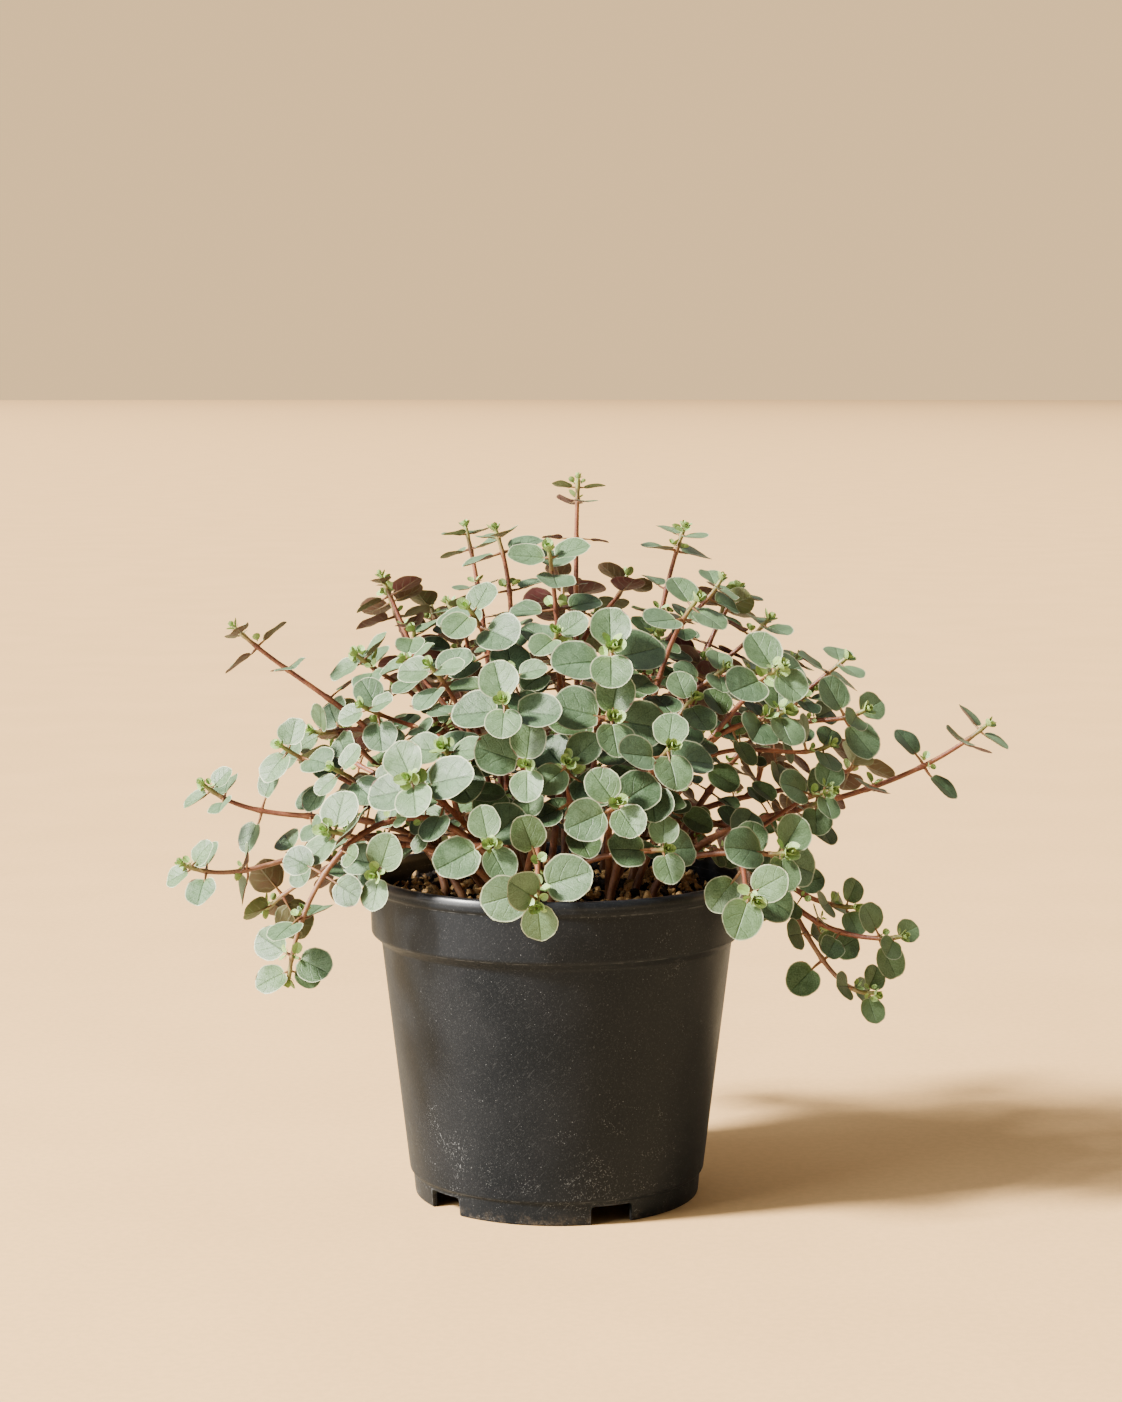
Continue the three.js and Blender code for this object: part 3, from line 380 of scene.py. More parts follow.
class Shoot:
    """A grown shoot: the points of its cubic curve, their distances from its start and their radii,
    which fall evenly from the shoot's own radius to the tip's."""

    def __init__(self, start, bend_a, bend_b, wish, radius):
        t = CURVE_SHARES[:, None]
        k = 1 - t
        first = k**3 * start + 3 * k * k * t * bend_a
        self.points = first + 3 * k * t * t * bend_b + t**3 * wish["tip"]
        steps = length(np.diff(self.points, axis=0))
        self.along = np.concatenate([[0.0], np.cumsum(steps)])
        self.length = self.along[-1]
        self.ways = unit(np.diff(self.points, axis=0))
        self.radius = radius
        self.radii = self.radius_at(CURVE_SHARES)
        self.wish = wish
        self.tip_way = tip_way(wish)
        self.apex = wish["tip"] + self.tip_way * TIP_POINT
        self.is_main = True

    def radius_at(self, share):
        """How thick the shoot is at a share of its length."""
        return self.radius + (TIP_RADIUS - self.radius) * share

    def at(self, distance):
        """The point at a distance from the start, and the way the shoot runs there."""
        i = min(max(int(np.searchsorted(self.along, distance)), 1), CURVE_POINTS)
        share = (distance - self.along[i - 1]) / (self.along[i] - self.along[i - 1])
        point = self.points[i - 1] + (self.points[i] - self.points[i - 1]) * share
        return point, self.ways[i - 1]


def tip_way(wish):
    """The way a tip points: outwards and towards the front, at its own rise."""
    out = unit(wish["tip"] * LEVEL)
    lean = unit(out + FRONT * wish["front"])
    rise = math.radians(wish["rise"])
    return lean * math.cos(rise) + UP * math.sin(rise)


def stem_clears_pot(points, radii):
    """True for each point of a stem that is clear of the soil and the pot."""
    reach = np.hypot(points[:, 0], points[:, 1])
    inside = reach < INNER_RIM_RADIUS - radii - RIM_AIR
    above = points[:, 2] > POT_HEIGHT + radii + RIM_AIR
    beside = reach > BEAD_RADIUS + radii + RIM_AIR
    return inside | above | beside


def air_around(path, standing, parent):
    """The least air between a shoot and those that already stand, tried at every second point."""
    tried = np.arange(2, CURVE_POINTS + 1, 2)
    points, radii = path.points[tried], path.radii[tried]
    least = AIR_ENOUGH if stem_clears_pot(points, radii).all() else -1.0
    for other in standing:
        kept = path.along[tried] >= FORK_LENGTH if other is parent else np.full(len(tried), True)
        apart = length(points[kept, None] - other.points[None, ::2])
        air = apart - radii[kept, None] - other.radii[None, ::2]
        least = min(least, air.min(initial=AIR_ENOUGH))
    return least


def clear_shoot(start, first_way, wish, radius, standing, parent):
    """A shoot, bent aside where it would touch one that already stands."""
    reach = length(wish["tip"] - start)
    across = cross(unit((wish["tip"] - start) * LEVEL), UP)
    bend_a = start + first_way * START_BEND * reach
    bend_b = wish["tip"] - tip_way(wish) * TIP_BEND * reach
    if wish["via"]:
        bend_a, bend_b = np.array(wish["via"], float)
    best = None
    for side, rise in BENDS_ASIDE:
        shift = across * side + UP * rise
        path = Shoot(start, bend_a + shift, bend_b + shift * TIP_SHARE, wish, radius)
        path.air = air_around(path, standing, parent)
        if best is None or path.air > best.air:
            best = path
        if path.air >= STEM_AIR:
            break
    return best


def root_place(angle, distance, roots):
    """A free place in the soil near the wanted one."""
    for step in ROOT_STEPS:
        for turn in ROOT_TURNS:
            reach = min(max(distance + step, ROOT_NEAREST), ROOT_REACH)
            place = level(angle + turn, reach)
            if all(length(other - place) >= ROOT_SPACING for other in roots):
                return place
    raise RuntimeError("no free place for a root")


def far_wishes():
    """The stems of the far side, by kind in turn, with drawn differences."""
    stems = []
    for i in range(FAR_COUNT):
        draws = Draws(FAR_SEED + i)
        angle = FAR_FIRST_ANGLE + (FAR_LAST_ANGLE - FAR_FIRST_ANGLE) * i / (FAR_COUNT - 1)
        side = FAR_SIDE_ANGLE if i % 2 == 0 else -FAR_SIDE_ANGLE
        wishes = []
        places = (angle, angle + side)
        for place, (reach, height, rise, leaf, pairs) in zip(places, FAR_KINDS[i % 4]):
            turned = place + draws.spread(FAR_JITTER)
            tip = level(turned, reach + draws.spread(FAR_JITTER))
            tip[2] = height + draws.spread(FAR_JITTER)
            turn = 90 * draws.share()
            wishes.append(shoot(*tip, rise, turn, leaf, pairs, fork=0.5, front=FAR_PULL))
        stems.append(wishes)
    return stems


def side_shoot(main, wish, radius, standing):
    """A shoot that forks off a main shoot."""
    start, fork_way = main.at(wish["fork"] * main.length)
    way = unit(fork_way * FORK_WAY + unit(wish["tip"] - start) * (1 - FORK_WAY))
    path = clear_shoot(start, way, wish, radius, standing, main)
    path.is_main, path.stem = False, main.stem
    return path


def grow_shoots():
    """Every shoot of every stem: the main shoot from the soil, then its side shoots."""
    standing, roots = [], []
    for index, wishes in enumerate(FRONT_STEMS + far_wishes()):
        draws = Draws(index + 1)
        tip = wishes[0]["tip"]
        angle = math.degrees(math.atan2(tip[1], tip[0])) + draws.spread(ROOT_TURN_JITTER)
        root = root_place(angle, ROOT_MIDDLE + ROOT_SHARE * math.hypot(tip[0], tip[1]), roots)
        roots.append(root)
        foot = root + UP * (soil_height(root[0], root[1]) + FOOT_RISE)
        way = unit(unit((tip - foot) * LEVEL) * OUTWARD_START + UP)
        main = clear_shoot(foot, way, wishes[0], MAIN_RADIUS, standing, None)
        main.stem = index
        standing.append(main)
        for wish in wishes[1:]:
            standing.append(side_shoot(main, wish, SIDE_RADIUS, standing))
    return standing


# ---------------------------------------------------------------- how the leaves grow

UPRIGHT = 0.15
EDGE_ON = 0.25
BLADE_REACH = 0.51
NEAR_BLADES = 6.0
NEAR_STEM = 8.0
LEAF_SEED = 1000
RANK_SEEDS = 100
WIDE_RING = [(math.cos(i * math.pi / 6), math.sin(i * math.pi / 6)) for i in range(12)]
NARROW_RING = [(0.5 * x, 0.5 * y) for x, y in WIDE_RING[::2]]
TRIAL_RINGS = np.array([(0.0, 0.0)] + NARROW_RING + WIDE_RING)
STALK_TRIALS = np.array([[0.35], [0.7]])
MOST_LEAVES = 4000

# Leaves deeper on the shoots than those of the model.
DEEP_SEED = 9000
DEEP_SPACING = 8.5
DEEP_RANKS = 10
DEEP_STALK = 3.4
DEEP_SIZE = 0.78  # size of the first of them as a share of the shoot's leaf size
DEEP_SHRINK = 0.93  # and of each pair as a share of the one above it
DEEP_CLEAR = 6.0
FIRST_PAIR_FRESH = 0.06  # how far the first pair is still as green as a bud
RANK_BLOOM_AND_SHADE = (1.0, 1.0, 0.8, 0.55, 0.4)  # how silvery the leaves of each pair are: the inner pairs are less silvery, partly by nature and partly as painted shade
DEEP_BLOOM_AND_SHADE = 0.25  # and the deeper ones, low partly by nature and partly as painted shade
DEEP_FRESH = 0.08
LIGHT_RISE = 0.7  # upward part of the light's way for each mm outwards; blades along this way paint shade on a leaf
COVER_NEAR, COVER_REACH = 2.0, 45.0  # blades this far out towards the light cover a leaf and paint shade on it
COVER_SHADE_LOSS = 1.8  # of its bloom for each of them, as painted shade: the leaf turns darker and greener
DEEP_LOWEST = 97.0  # inside the rim, so that the soil stays in sight
DEEP_RISE = 0.35  # how much higher for each mm in front of the middle
DEEP_TURNS = TURNS_ASIDE[:13]
DEEP_SHRINKS = (1.0, 0.8, 0.62)


@dataclass
class Leaf:
    """A leaf: where its stalk leaves the shoot, its blade's base and middle, and the blade's own
    axes, which run along its midrib, across it and out of its upper face."""

    stem: int
    start: np.ndarray
    outward: np.ndarray
    base: np.ndarray
    middle: np.ndarray
    rib: np.ndarray
    side: np.ndarray
    face: np.ndarray
    size: float
    fresh: float
    # how silvery the upper face is: lowered as painted shade on covered leaves, and partly so on
    # inner and deeper ones
    bloom: float

    @property
    def reach(self):
        """Radius of the circle round the blade."""
        return self.size * BLADE_REACH


# A place on a shoot that bears a leaf.
Station = namedtuple("Station", "point way turn lift roll stalk size radius fresh bloom")


def leaf_at(path, station, aside, shrink):
    """The leaf of a station, turned aside and shrunk as asked. Its blade turns to the light."""
    turn, tilt, roll = aside
    way = station.way
    across = cross(UP, way)
    if length(across) < UPRIGHT:
        across = RIGHT - way * way[0]
    across = unit(across)
    raised = cross(way, across)
    angle = math.radians(station.turn + turn)
    outward = across * math.cos(angle) + raised * math.sin(angle)
    lift = math.radians(station.lift + tilt)
    out = unit(path.wish["tip"] * LEVEL)
    light = unit(UP * LIGHT_UP + out * LIGHT_OUT + FRONT * path.wish["front"])
    aim = unit(way * (1 - LIGHT_PULL) + light * LIGHT_PULL)
    rib = unit(outward * math.cos(lift) + way * math.sin(lift))
    rib = unit(rib - aim * RIB_BEND * rib.dot(aim))
    face = aim - rib * aim.dot(rib)
    if length(face) < EDGE_ON:
        face = way - rib * way.dot(rib)
    face = unit(face)
    turned = math.radians(station.roll + roll)
    face = face * math.cos(turned) + cross(rib, face) * math.sin(turned)
    size = station.size * shrink
    base = station.point + unit(outward + rib) * (station.radius + station.stalk)
    return Leaf(
        stem=path.stem, start=station.point, outward=outward, base=base,
        middle=base + rib * (size / 2), rib=rib, side=cross(face, rib), face=face, size=size,
        fresh=station.fresh, bloom=station.bloom,
    )


def near_blade(points, middle, face, reach, air, beside):
    """True for each point that is nearer to a blade than the given air, above or beside it."""
    offset = points - middle
    height = (offset * face).sum(-1)
    in_plane = np.sqrt(np.maximum((offset * offset).sum(-1) - height * height, 0))
    return (np.abs(height) < air) & (in_plane < reach + beside)


class Canopy:
    """The stems and the blades that already stand, kept as arrays for quick tests of air."""

    def __init__(self, shoots):
        self.set_stems(shoots)
        self.leaves = []
        self.middles = np.zeros((MOST_LEAVES, 3))
        self.faces = np.zeros((MOST_LEAVES, 3))
        self.reaches = np.zeros(MOST_LEAVES)
        self.trials = np.zeros((MOST_LEAVES, len(TRIAL_RINGS) + len(STALK_TRIALS), 3))

    def set_stems(self, shoots):
        """Takes these for the shoots that stand."""
        self.stem_points = np.array([path.points for path in shoots])
        self.stem_air = np.array([path.radii for path in shoots]) + STALK_AIR
        self.stem_index = np.array([path.stem for path in shoots])
        self.apexes = np.array([path.apex for path in shoots])

    @staticmethod
    def trial_points(leaf):
        """The points of a leaf that are tried: its blade's middle, two rings round it and two
        points of its stalk."""
        along, across = TRIAL_RINGS.T[:, :, None] * leaf.reach
        blade = leaf.middle + leaf.rib * along + leaf.side * across
        stalk = leaf.start * (1 - STALK_TRIALS) + leaf.base * STALK_TRIALS
        return np.concatenate([blade, stalk])

    def clears_leaves(self, leaf, points):
        """True where a leaf is clear of every other leaf."""
        count = len(self.leaves)
        apart = length(self.middles[:count] - leaf.middle)
        near = np.flatnonzero(apart < leaf.reach + self.reaches[:count] + NEAR_BLADES)
        theirs = near_blade(
            self.trials[near], leaf.middle, leaf.face, leaf.reach, BLADE_AIR, EDGE_AIR
        )
        if theirs.any():
            return False
        middles, faces = self.middles[near, None], self.faces[near, None]
        reaches = self.reaches[near, None]
        return not near_blade(points[None], middles, faces, reaches, BLADE_AIR, EDGE_AIR).any()

    def clears_stems(self, leaf, points):
        """True where a leaf is clear of every stem, apart from the foot of its own stalk."""
        own = self.stem_index == leaf.stem
        near = length(self.stem_points - leaf.middle) < leaf.reach + NEAR_STEM
        rows, columns = np.nonzero(near)
        stem_points, air = self.stem_points[rows, columns], self.stem_air[rows, columns]
        beside = np.where(own[rows], 0, air)
        if near_blade(stem_points, leaf.middle, leaf.face, leaf.reach, air, beside).any():
            return False
        stalk = points[len(TRIAL_RINGS):]
        meets = (length(stalk[:, None] - stem_points[None]) < air + GAP).any(0)
        beside = np.where(own, 0, STALK_AIR)
        tips = near_blade(self.apexes, leaf.middle, leaf.face, leaf.reach, STALK_AIR, beside)
        return not (meets & ~own[rows]).any() and not tips.any()

    @staticmethod
    def clears_pot(blade):
        """True where a blade is clear of the soil and the pot."""
        reach = np.hypot(blade[:, 0], blade[:, 1])
        inside = reach < INNER_RIM_RADIUS - RIM_AIR
        above_soil = blade[:, 2] > soil_height(blade[:, 0], blade[:, 1]) + SOIL_AIR
        outside = (blade[:, 2] > POT_HEIGHT + RIM_AIR) | (reach > BEAD_RADIUS + RIM_AIR)
        return np.where(inside, above_soil, outside).all()

    def grow(self, path, station, turns=TURNS_ASIDE, shrinks=SHRINKS):
        """Adds a station's leaf, turned aside until it is clear, or leaves it out."""
        for shrink in shrinks:
            for aside in turns:
                leaf = leaf_at(path, station, aside, shrink)
                points = self.trial_points(leaf)
                clear = self.clears_pot(points[: len(TRIAL_RINGS)])
                if clear and self.clears_leaves(leaf, points) and self.clears_stems(leaf, points):
                    row = len(self.leaves)
                    self.leaves.append(leaf)
                    self.middles[row], self.faces[row] = leaf.middle, leaf.face
                    self.reaches[row], self.trials[row] = leaf.reach, points
                    return


def pair_stations(path, distance, turn, draws, stalk, lift, size, fresh, bloom):
    """The two stations of a pair of leaves, with their drawn differences."""
    point, way = path.at(distance)
    stations = []
    for half in (0, 1):
        turned = turn + 180 * half + draws.spread(TURN_JITTER)
        lifted = lift + draws.spread(TURN_JITTER)
        roll = draws.spread(ROLL_JITTER)
        grown = size * (1 + draws.spread(PAIR_JITTER))
        radius = path.radius_at(distance / path.length)
        station = Station(point, way, turned, lifted, roll, stalk, grown, radius, fresh, bloom)
        stations.append(station)
    return stations


def deep_enough(point):
    """True unless a deeper leaf at this point would hide the soil."""
    lowest = DEEP_LOWEST + DEEP_RISE * max(-point[1], 0)
    return point[2] > lowest or np.hypot(point[0], point[1]) > BEAD_RADIUS


def grow_twigs(shoots):
    """The extra twigs of the flanks."""
    twigs = []
    for number, wish in TWIGS:
        main = next(path for path in shoots if path.stem == number - 1)
        twigs.append(side_shoot(main, wish, TWIG_RADIUS, shoots + twigs))
    return twigs


def grow_pairs(canopy, paths, first=0):
    """The pairs nearest the tips of these shoots, the outermost ones of all of them first."""
    for rank, (start, stalk, lift, scale) in enumerate(PAIRS):
        for index, path in enumerate(paths, first):
            draws = Draws(LEAF_SEED + RANK_SEEDS * rank + index)
            wish = path.wish
            distance = path.length - start * (1 + draws.spread(PAIR_JITTER)) * wish["stretch"]
            turn = wish["turn"] + 90 * rank + draws.spread(TURN_JITTER)
            if rank < wish["pairs"] and distance >= LAST_PAIR_CLEAR:
                fresh = FIRST_PAIR_FRESH if rank == 0 else 0.0
                inner = INNER_SIZE if rank > 1 and wish["via"] is None else 1.0
                size = wish["leaf"] * scale * inner
                # the bloom of a pair: low on inner pairs, partly as painted shade
                looks = {"fresh": fresh, "bloom": RANK_BLOOM_AND_SHADE[rank]}
                pair = pair_stations(path, distance, turn, draws, stalk, lift, size, **looks)
                for half, station in enumerate(pair):
                    if (rank, half) not in wish["bare"]:
                        canopy.grow(path, station)


def grow_leaves(shoots):
    """The leaves of the model, then the extra twigs with theirs, then the deeper and smaller
    leaves. Returns all shoots and all leaves."""
    canopy = Canopy(shoots)
    grow_pairs(canopy, shoots)
    twigs = grow_twigs(shoots)
    canopy.set_stems(shoots + twigs)
    grow_pairs(canopy, twigs, len(shoots))
    shoots = shoots + twigs
    for rank in range(DEEP_RANKS):
        for index, path in enumerate(shoots):
            draws = Draws(DEEP_SEED + RANK_SEEDS * rank + index)
            wish = path.wish
            above = PAIRS[wish["pairs"] - 1][0] * wish["stretch"]
            deeper = (rank + 1) * DEEP_SPACING * (1 + draws.spread(PAIR_JITTER))
            distance = path.length - above - deeper
            turn = wish["turn"] + 90 * (wish["pairs"] + rank) + draws.spread(TURN_JITTER)
            if distance >= DEEP_CLEAR and deep_enough(path.at(distance)[0]):
                size = wish["leaf"] * DEEP_SIZE * DEEP_SHRINK**rank
                # the deeper leaves' low bloom is partly painted shade
                looks = {"fresh": DEEP_FRESH, "bloom": DEEP_BLOOM_AND_SHADE}
                pair = pair_stations(path, distance, turn, draws, DEEP_STALK, 0.0, size, **looks)
                for station in pair:
                    canopy.grow(path, station, DEEP_TURNS, DEEP_SHRINKS)
    # painted shade: leaves with blades between them and the light lose bloom, so turn darker and
    # greener
    paint_cover_shade(canopy.leaves)
    return shoots, canopy.leaves


def paint_cover_shade(leaves):
    """Paints shade into leaves that have blades further out between them and the light, which comes
    to each leaf from above and from outside the plant: it lowers their bloom, so they turn darker
    and greener."""
    middles = np.array([leaf.middle for leaf in leaves])
    reaches = np.array([leaf.reach for leaf in leaves])
    light = unit(unit(middles * LEVEL) + UP * LIGHT_RISE)
    offset = middles[None] - middles[:, None]
    along = (offset * light[:, None]).sum(-1)
    beside = length(offset - along[..., None] * light[:, None])
    covers = (along > COVER_NEAR) & (along < COVER_REACH) & (beside < reaches)
    for leaf, count in zip(leaves, covers.sum(1)):
        leaf.bloom /= 1 + COVER_SHADE_LOSS * count


# ---------------------------------------------------------------- buds and axil leaves

# The folded leaves of a bud: size as a share of the shoot's leaf size, how far past the tip they
# start in mm, how steeply they stand in degrees, their turn and how fresh their green is.
BUD_PAIRS = [(0.27, 0.1, 42.0, 90.0, 0.7), (0.2, 0.7, 58.0, 0.0, 0.9), (0.12, 1.2, 74.0, 90.0, 1.0)]
BUD_SEED = 20000
BUD_OUT = 0.6 * TIP_RADIUS  # how far from the middle of the tip they start
AXIL_SEED = 30000
AXIL_SHARE = 0.42  # of the leaves, those with a small bud where their stalk starts
AXIL_SIZE, AXIL_SIZE_SPREAD = 0.27, 0.35
AXIL_RISE, AXIL_OUT = 1.3, 0.5  # mm above the stalk and along it
AXIL_SPREAD = 0.4
AXIL_FRESH = 0.8


def small_leaf(stem, start, outward, base, rib, aim, size, fresh):
    """A leaf of a bud, whose face turns to aim."""
    face = unit(aim - rib * rib.dot(aim))
    middle = base + rib * size / 2
    return Leaf(stem, start, outward, base, middle, rib, cross(face, rib), face, size, fresh, 1.0)


def bud_leaves(shoots):
    """The small leaves that close each tip."""
    leaves = []
    for index, path in enumerate(shoots):
        draws = Draws(BUD_SEED + index)
        way = path.tip_way
        across = unit(cross(UP, way)) if abs(way[2]) < 0.98 else RIGHT
        raised = cross(way, across)
        for share, past, rise, turn, fresh in BUD_PAIRS:
            for half in (0, 1):
                around = path.wish["turn"] + turn + 180 * half + draws.spread(TURN_JITTER)
                angle = math.radians(around)
                outward = across * math.cos(angle) + raised * math.sin(angle)
                lift = math.radians(rise + draws.spread(TURN_JITTER))
                rib = outward * math.cos(lift) + way * math.sin(lift)
                size = path.wish["leaf"] * share * (1 + draws.spread(2 * PAIR_JITTER))
                start = path.wish["tip"] + way * past
                base = start + outward * BUD_OUT
                leaves.append(small_leaf(path.stem, start, outward, base, rib, way, size, fresh))
    return leaves


def axil_leaves(grown):
    """Pairs of tiny leaves in the angle between a leafstalk and its stem."""
    leaves = []
    for index, leaf in enumerate(grown):
        draws = Draws(AXIL_SEED + index)
        if draws.share() > AXIL_SHARE:
            continue
        above = unit(leaf.face + leaf.outward * 0.6)
        across = unit(cross(above, leaf.outward))
        start = leaf.start + above * AXIL_RISE + leaf.outward * AXIL_OUT
        for half in (-1, 1):
            rise = 0.7 + draws.spread(AXIL_SPREAD)
            rib = unit(across * half + above * rise + leaf.outward * draws.spread(AXIL_SPREAD))
            size = leaf.size * AXIL_SIZE * (1 + draws.spread(AXIL_SIZE_SPREAD))
            base = start + rib * AXIL_OUT
            leaves.append(small_leaf(leaf.stem, start, rib, base, rib, above, size, AXIL_FRESH))
    return leaves


# ---------------------------------------------------------------- meshes

TOP_LOOK, UNDER_LOOK, STEM_LOOK = 0, 1, 2
OUTLINE, MIDRIB = 1, 2


class Surface:
    """Gathers the points and faces of a mesh, with what each point carries."""

    def __init__(self):
        self.points, self.faces, self.carried = [], [], []
        self.count = 0

    def add(self, points, faces, place=None, fresh=0.0, tone=0.5, crease=0):
        """Adds points (n, 3) in mm and, for each look, arrays of faces. place is where a point is
        on its own small surface. crease marks the points of sharp lines."""
        n = len(points)
        place = np.zeros((n, 2)) if place is None else place
        marks = [np.broadcast_to(values, n)[:, None] for values in (fresh, tone, crease)]
        for look, some in faces.items():
            for array in some if isinstance(some, list) else [some]:
                self.faces.append((look, array + self.count))
        self.points.append(points)
        self.carried.append(np.concatenate([place, *marks], 1))
        self.count += n

    def mesh(self, name):
        """The mesh in metres, smooth but for its marked lines."""
        faces = [face for _, array in self.faces for face in array.tolist()]
        looks = np.concatenate([np.full(len(array), look) for look, array in self.faces])
        carried = np.concatenate(self.carried)
        mesh = bpy.data.meshes.new(name)
        mesh.from_pydata(np.concatenate(self.points) * MM, [], faces)
        mesh.polygons.foreach_set("material_index", looks)
        mesh.polygons.foreach_set("use_smooth", np.ones(len(faces), bool))
        corners = np.zeros(len(mesh.loops), int)
        mesh.loops.foreach_get("vertex_index", corners)
        mesh.uv_layers.new(name="leaf").data.foreach_set("uv", carried[corners, :2].ravel())
        for column, key in ((2, "fresh"), (3, "tone")):
            values = carried[:, column].astype(np.float32)
            mesh.attributes.new(key, "FLOAT", "POINT").data.foreach_set("value", values)
        ends = np.zeros(2 * len(mesh.edges), int)
        mesh.edges.foreach_get("vertices", ends)
        first, second = carried[:, 4].astype(int)[ends.reshape(-1, 2)].T
        sharp = mesh.attributes.new("sharp_edge", "BOOLEAN", "EDGE")
        sharp.data.foreach_set("value", (first & second) > 0)
        mesh.update()
        return mesh


def add_object(name, data):
    """An object of the scene."""
    added = bpy.data.objects.new(name, data)
    bpy.context.scene.collection.objects.link(added)
    return added


def new_piece(name, mesh, materials, slot, *nodes):
    """A piece of the plant: it rides on the one body and stands for CAD nodes."""
    piece = add_object(name, mesh)
    for material in materials:
        mesh.materials.append(material)
    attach(piece, BODY)
    if nodes:
        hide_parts(*nodes)
    return piece


def grid_faces(rows, columns, closed=False):
    """The quads of a grid of points numbered row by row, whose last column may join its first."""
    last = columns if closed else columns - 1
    row, column = np.meshgrid(np.arange(rows - 1), np.arange(last), indexing="ij")
    after = (column + 1) % columns
    corners = [row * columns + column, row * columns + after]
    corners += [(row + 1) * columns + after, (row + 1) * columns + column]
    return np.stack(corners, -1).reshape(-1, 4)


def capped_faces(rings, sides):
    """The faces of closed rings, numbered ring by ring, whose ends are closed by two further
    points: the quads between them, and the two fans."""
    around = np.arange(sides)
    after = (around + 1) % sides
    last = (rings - 1) * sides
    first_fan = np.stack([after, around, np.full(sides, rings * sides)], -1)
    last_fan = np.stack([last + around, last + after, np.full(sides, rings * sides + 1)], -1)
    return grid_faces(rings, sides, closed=True), np.concatenate([first_fan, last_fan])


def copies(faces, count, step):
    """The faces of count copies of a pattern of step points each."""
    return (faces[None] + step * np.arange(count)[:, None, None]).reshape(-1, faces.shape[1])


def tubes(paths, radii, side, sides):
    """Tubes round many paths at once. paths is (tubes, stations, 3), radii (tubes, stations), and
    side (tubes, 3) a vector across each tube. A ring's point at angle a is the station's place plus
    radius times (cos a across + sin a other), both at right angles to the path. The ends are closed
    by a point. Returns the points and the faces."""
    many, stations, _ = paths.shape
    ways = unit(np.gradient(paths, axis=1))
    across = unit(side[:, None] - ways * (ways * side[:, None]).sum(-1, keepdims=True))
    other = cross(ways, across)
    angles = np.arange(sides) * 2 * math.pi / sides
    cosine, sine = np.cos(angles)[:, None], np.sin(angles)[:, None]
    ring = across[:, :, None] * cosine + other[:, :, None] * sine
    rings = paths[:, :, None] + ring * radii[:, :, None, None]
    points = np.concatenate([rings.reshape(many, -1, 3), paths[:, :1], paths[:, -1:]], 1)
    faces = [copies(some, many, points.shape[1]) for some in capped_faces(stations, sides)]
    return points.reshape(-1, 3), faces


# ---------------------------------------------------------------- the blades

BLADE_STEPS = 6
SMALL_BLADE_STEPS = 4
SMALL_BLADE = 4.5  # mm, the length below which a blade is built with fewer faces
LOW_FROM, LOW_TO, LOW_FRESH = 122.0, 70.0, 0.05  # lower leaves are greener
# How blades differ: the least and the most that is drawn for each.
NOTCHES, NOTCH_ANGLE = (0.06, 0.17), 0.32
DENTS, DENT_ANGLE = (-0.05, 0.05), 0.3
WAVES, WAVE_CYCLES = (-0.022, 0.022), (3, 5, 8)
WIDTHS, YOUNG_NARROWER = (0.97, 1.09), 0.12
LEAST_FOLD, MOST_RISE, YOUNG_BEND = 0.12, 0.03, 0.3
DOMES = (-0.1, 0.2)
RIPPLES = (0.0, 0.03)
TONES = (0.6, 1.0)
FULL_THICKNESS = 9.0  # mm, the length from which a blade has its full thickness
OUTER_RING = 0.999  # radius on the disc beyond which a point is on the outline


def disc_grid(steps):
    """A square grid drawn onto a disc: along = u sqrt(1 - v²/2), across = v sqrt(1 - u²/2), with u
    and v from -1 to 1. Returns both, and the grid's quads."""
    line = np.linspace(-1, 1, steps + 1)
    u, v = (values.ravel() for values in np.meshgrid(line, line, indexing="ij"))
    quads = grid_faces(steps + 1, steps + 1)[:, ::-1]
    return u * np.sqrt(1 - v * v / 2), v * np.sqrt(1 - u * u / 2), quads


def gathered(leaves, key):
    """One value of every leaf as an array, with an axis of length 1 after the first."""
    return np.array([getattr(leaf, key) for leaf in leaves])[:, None]


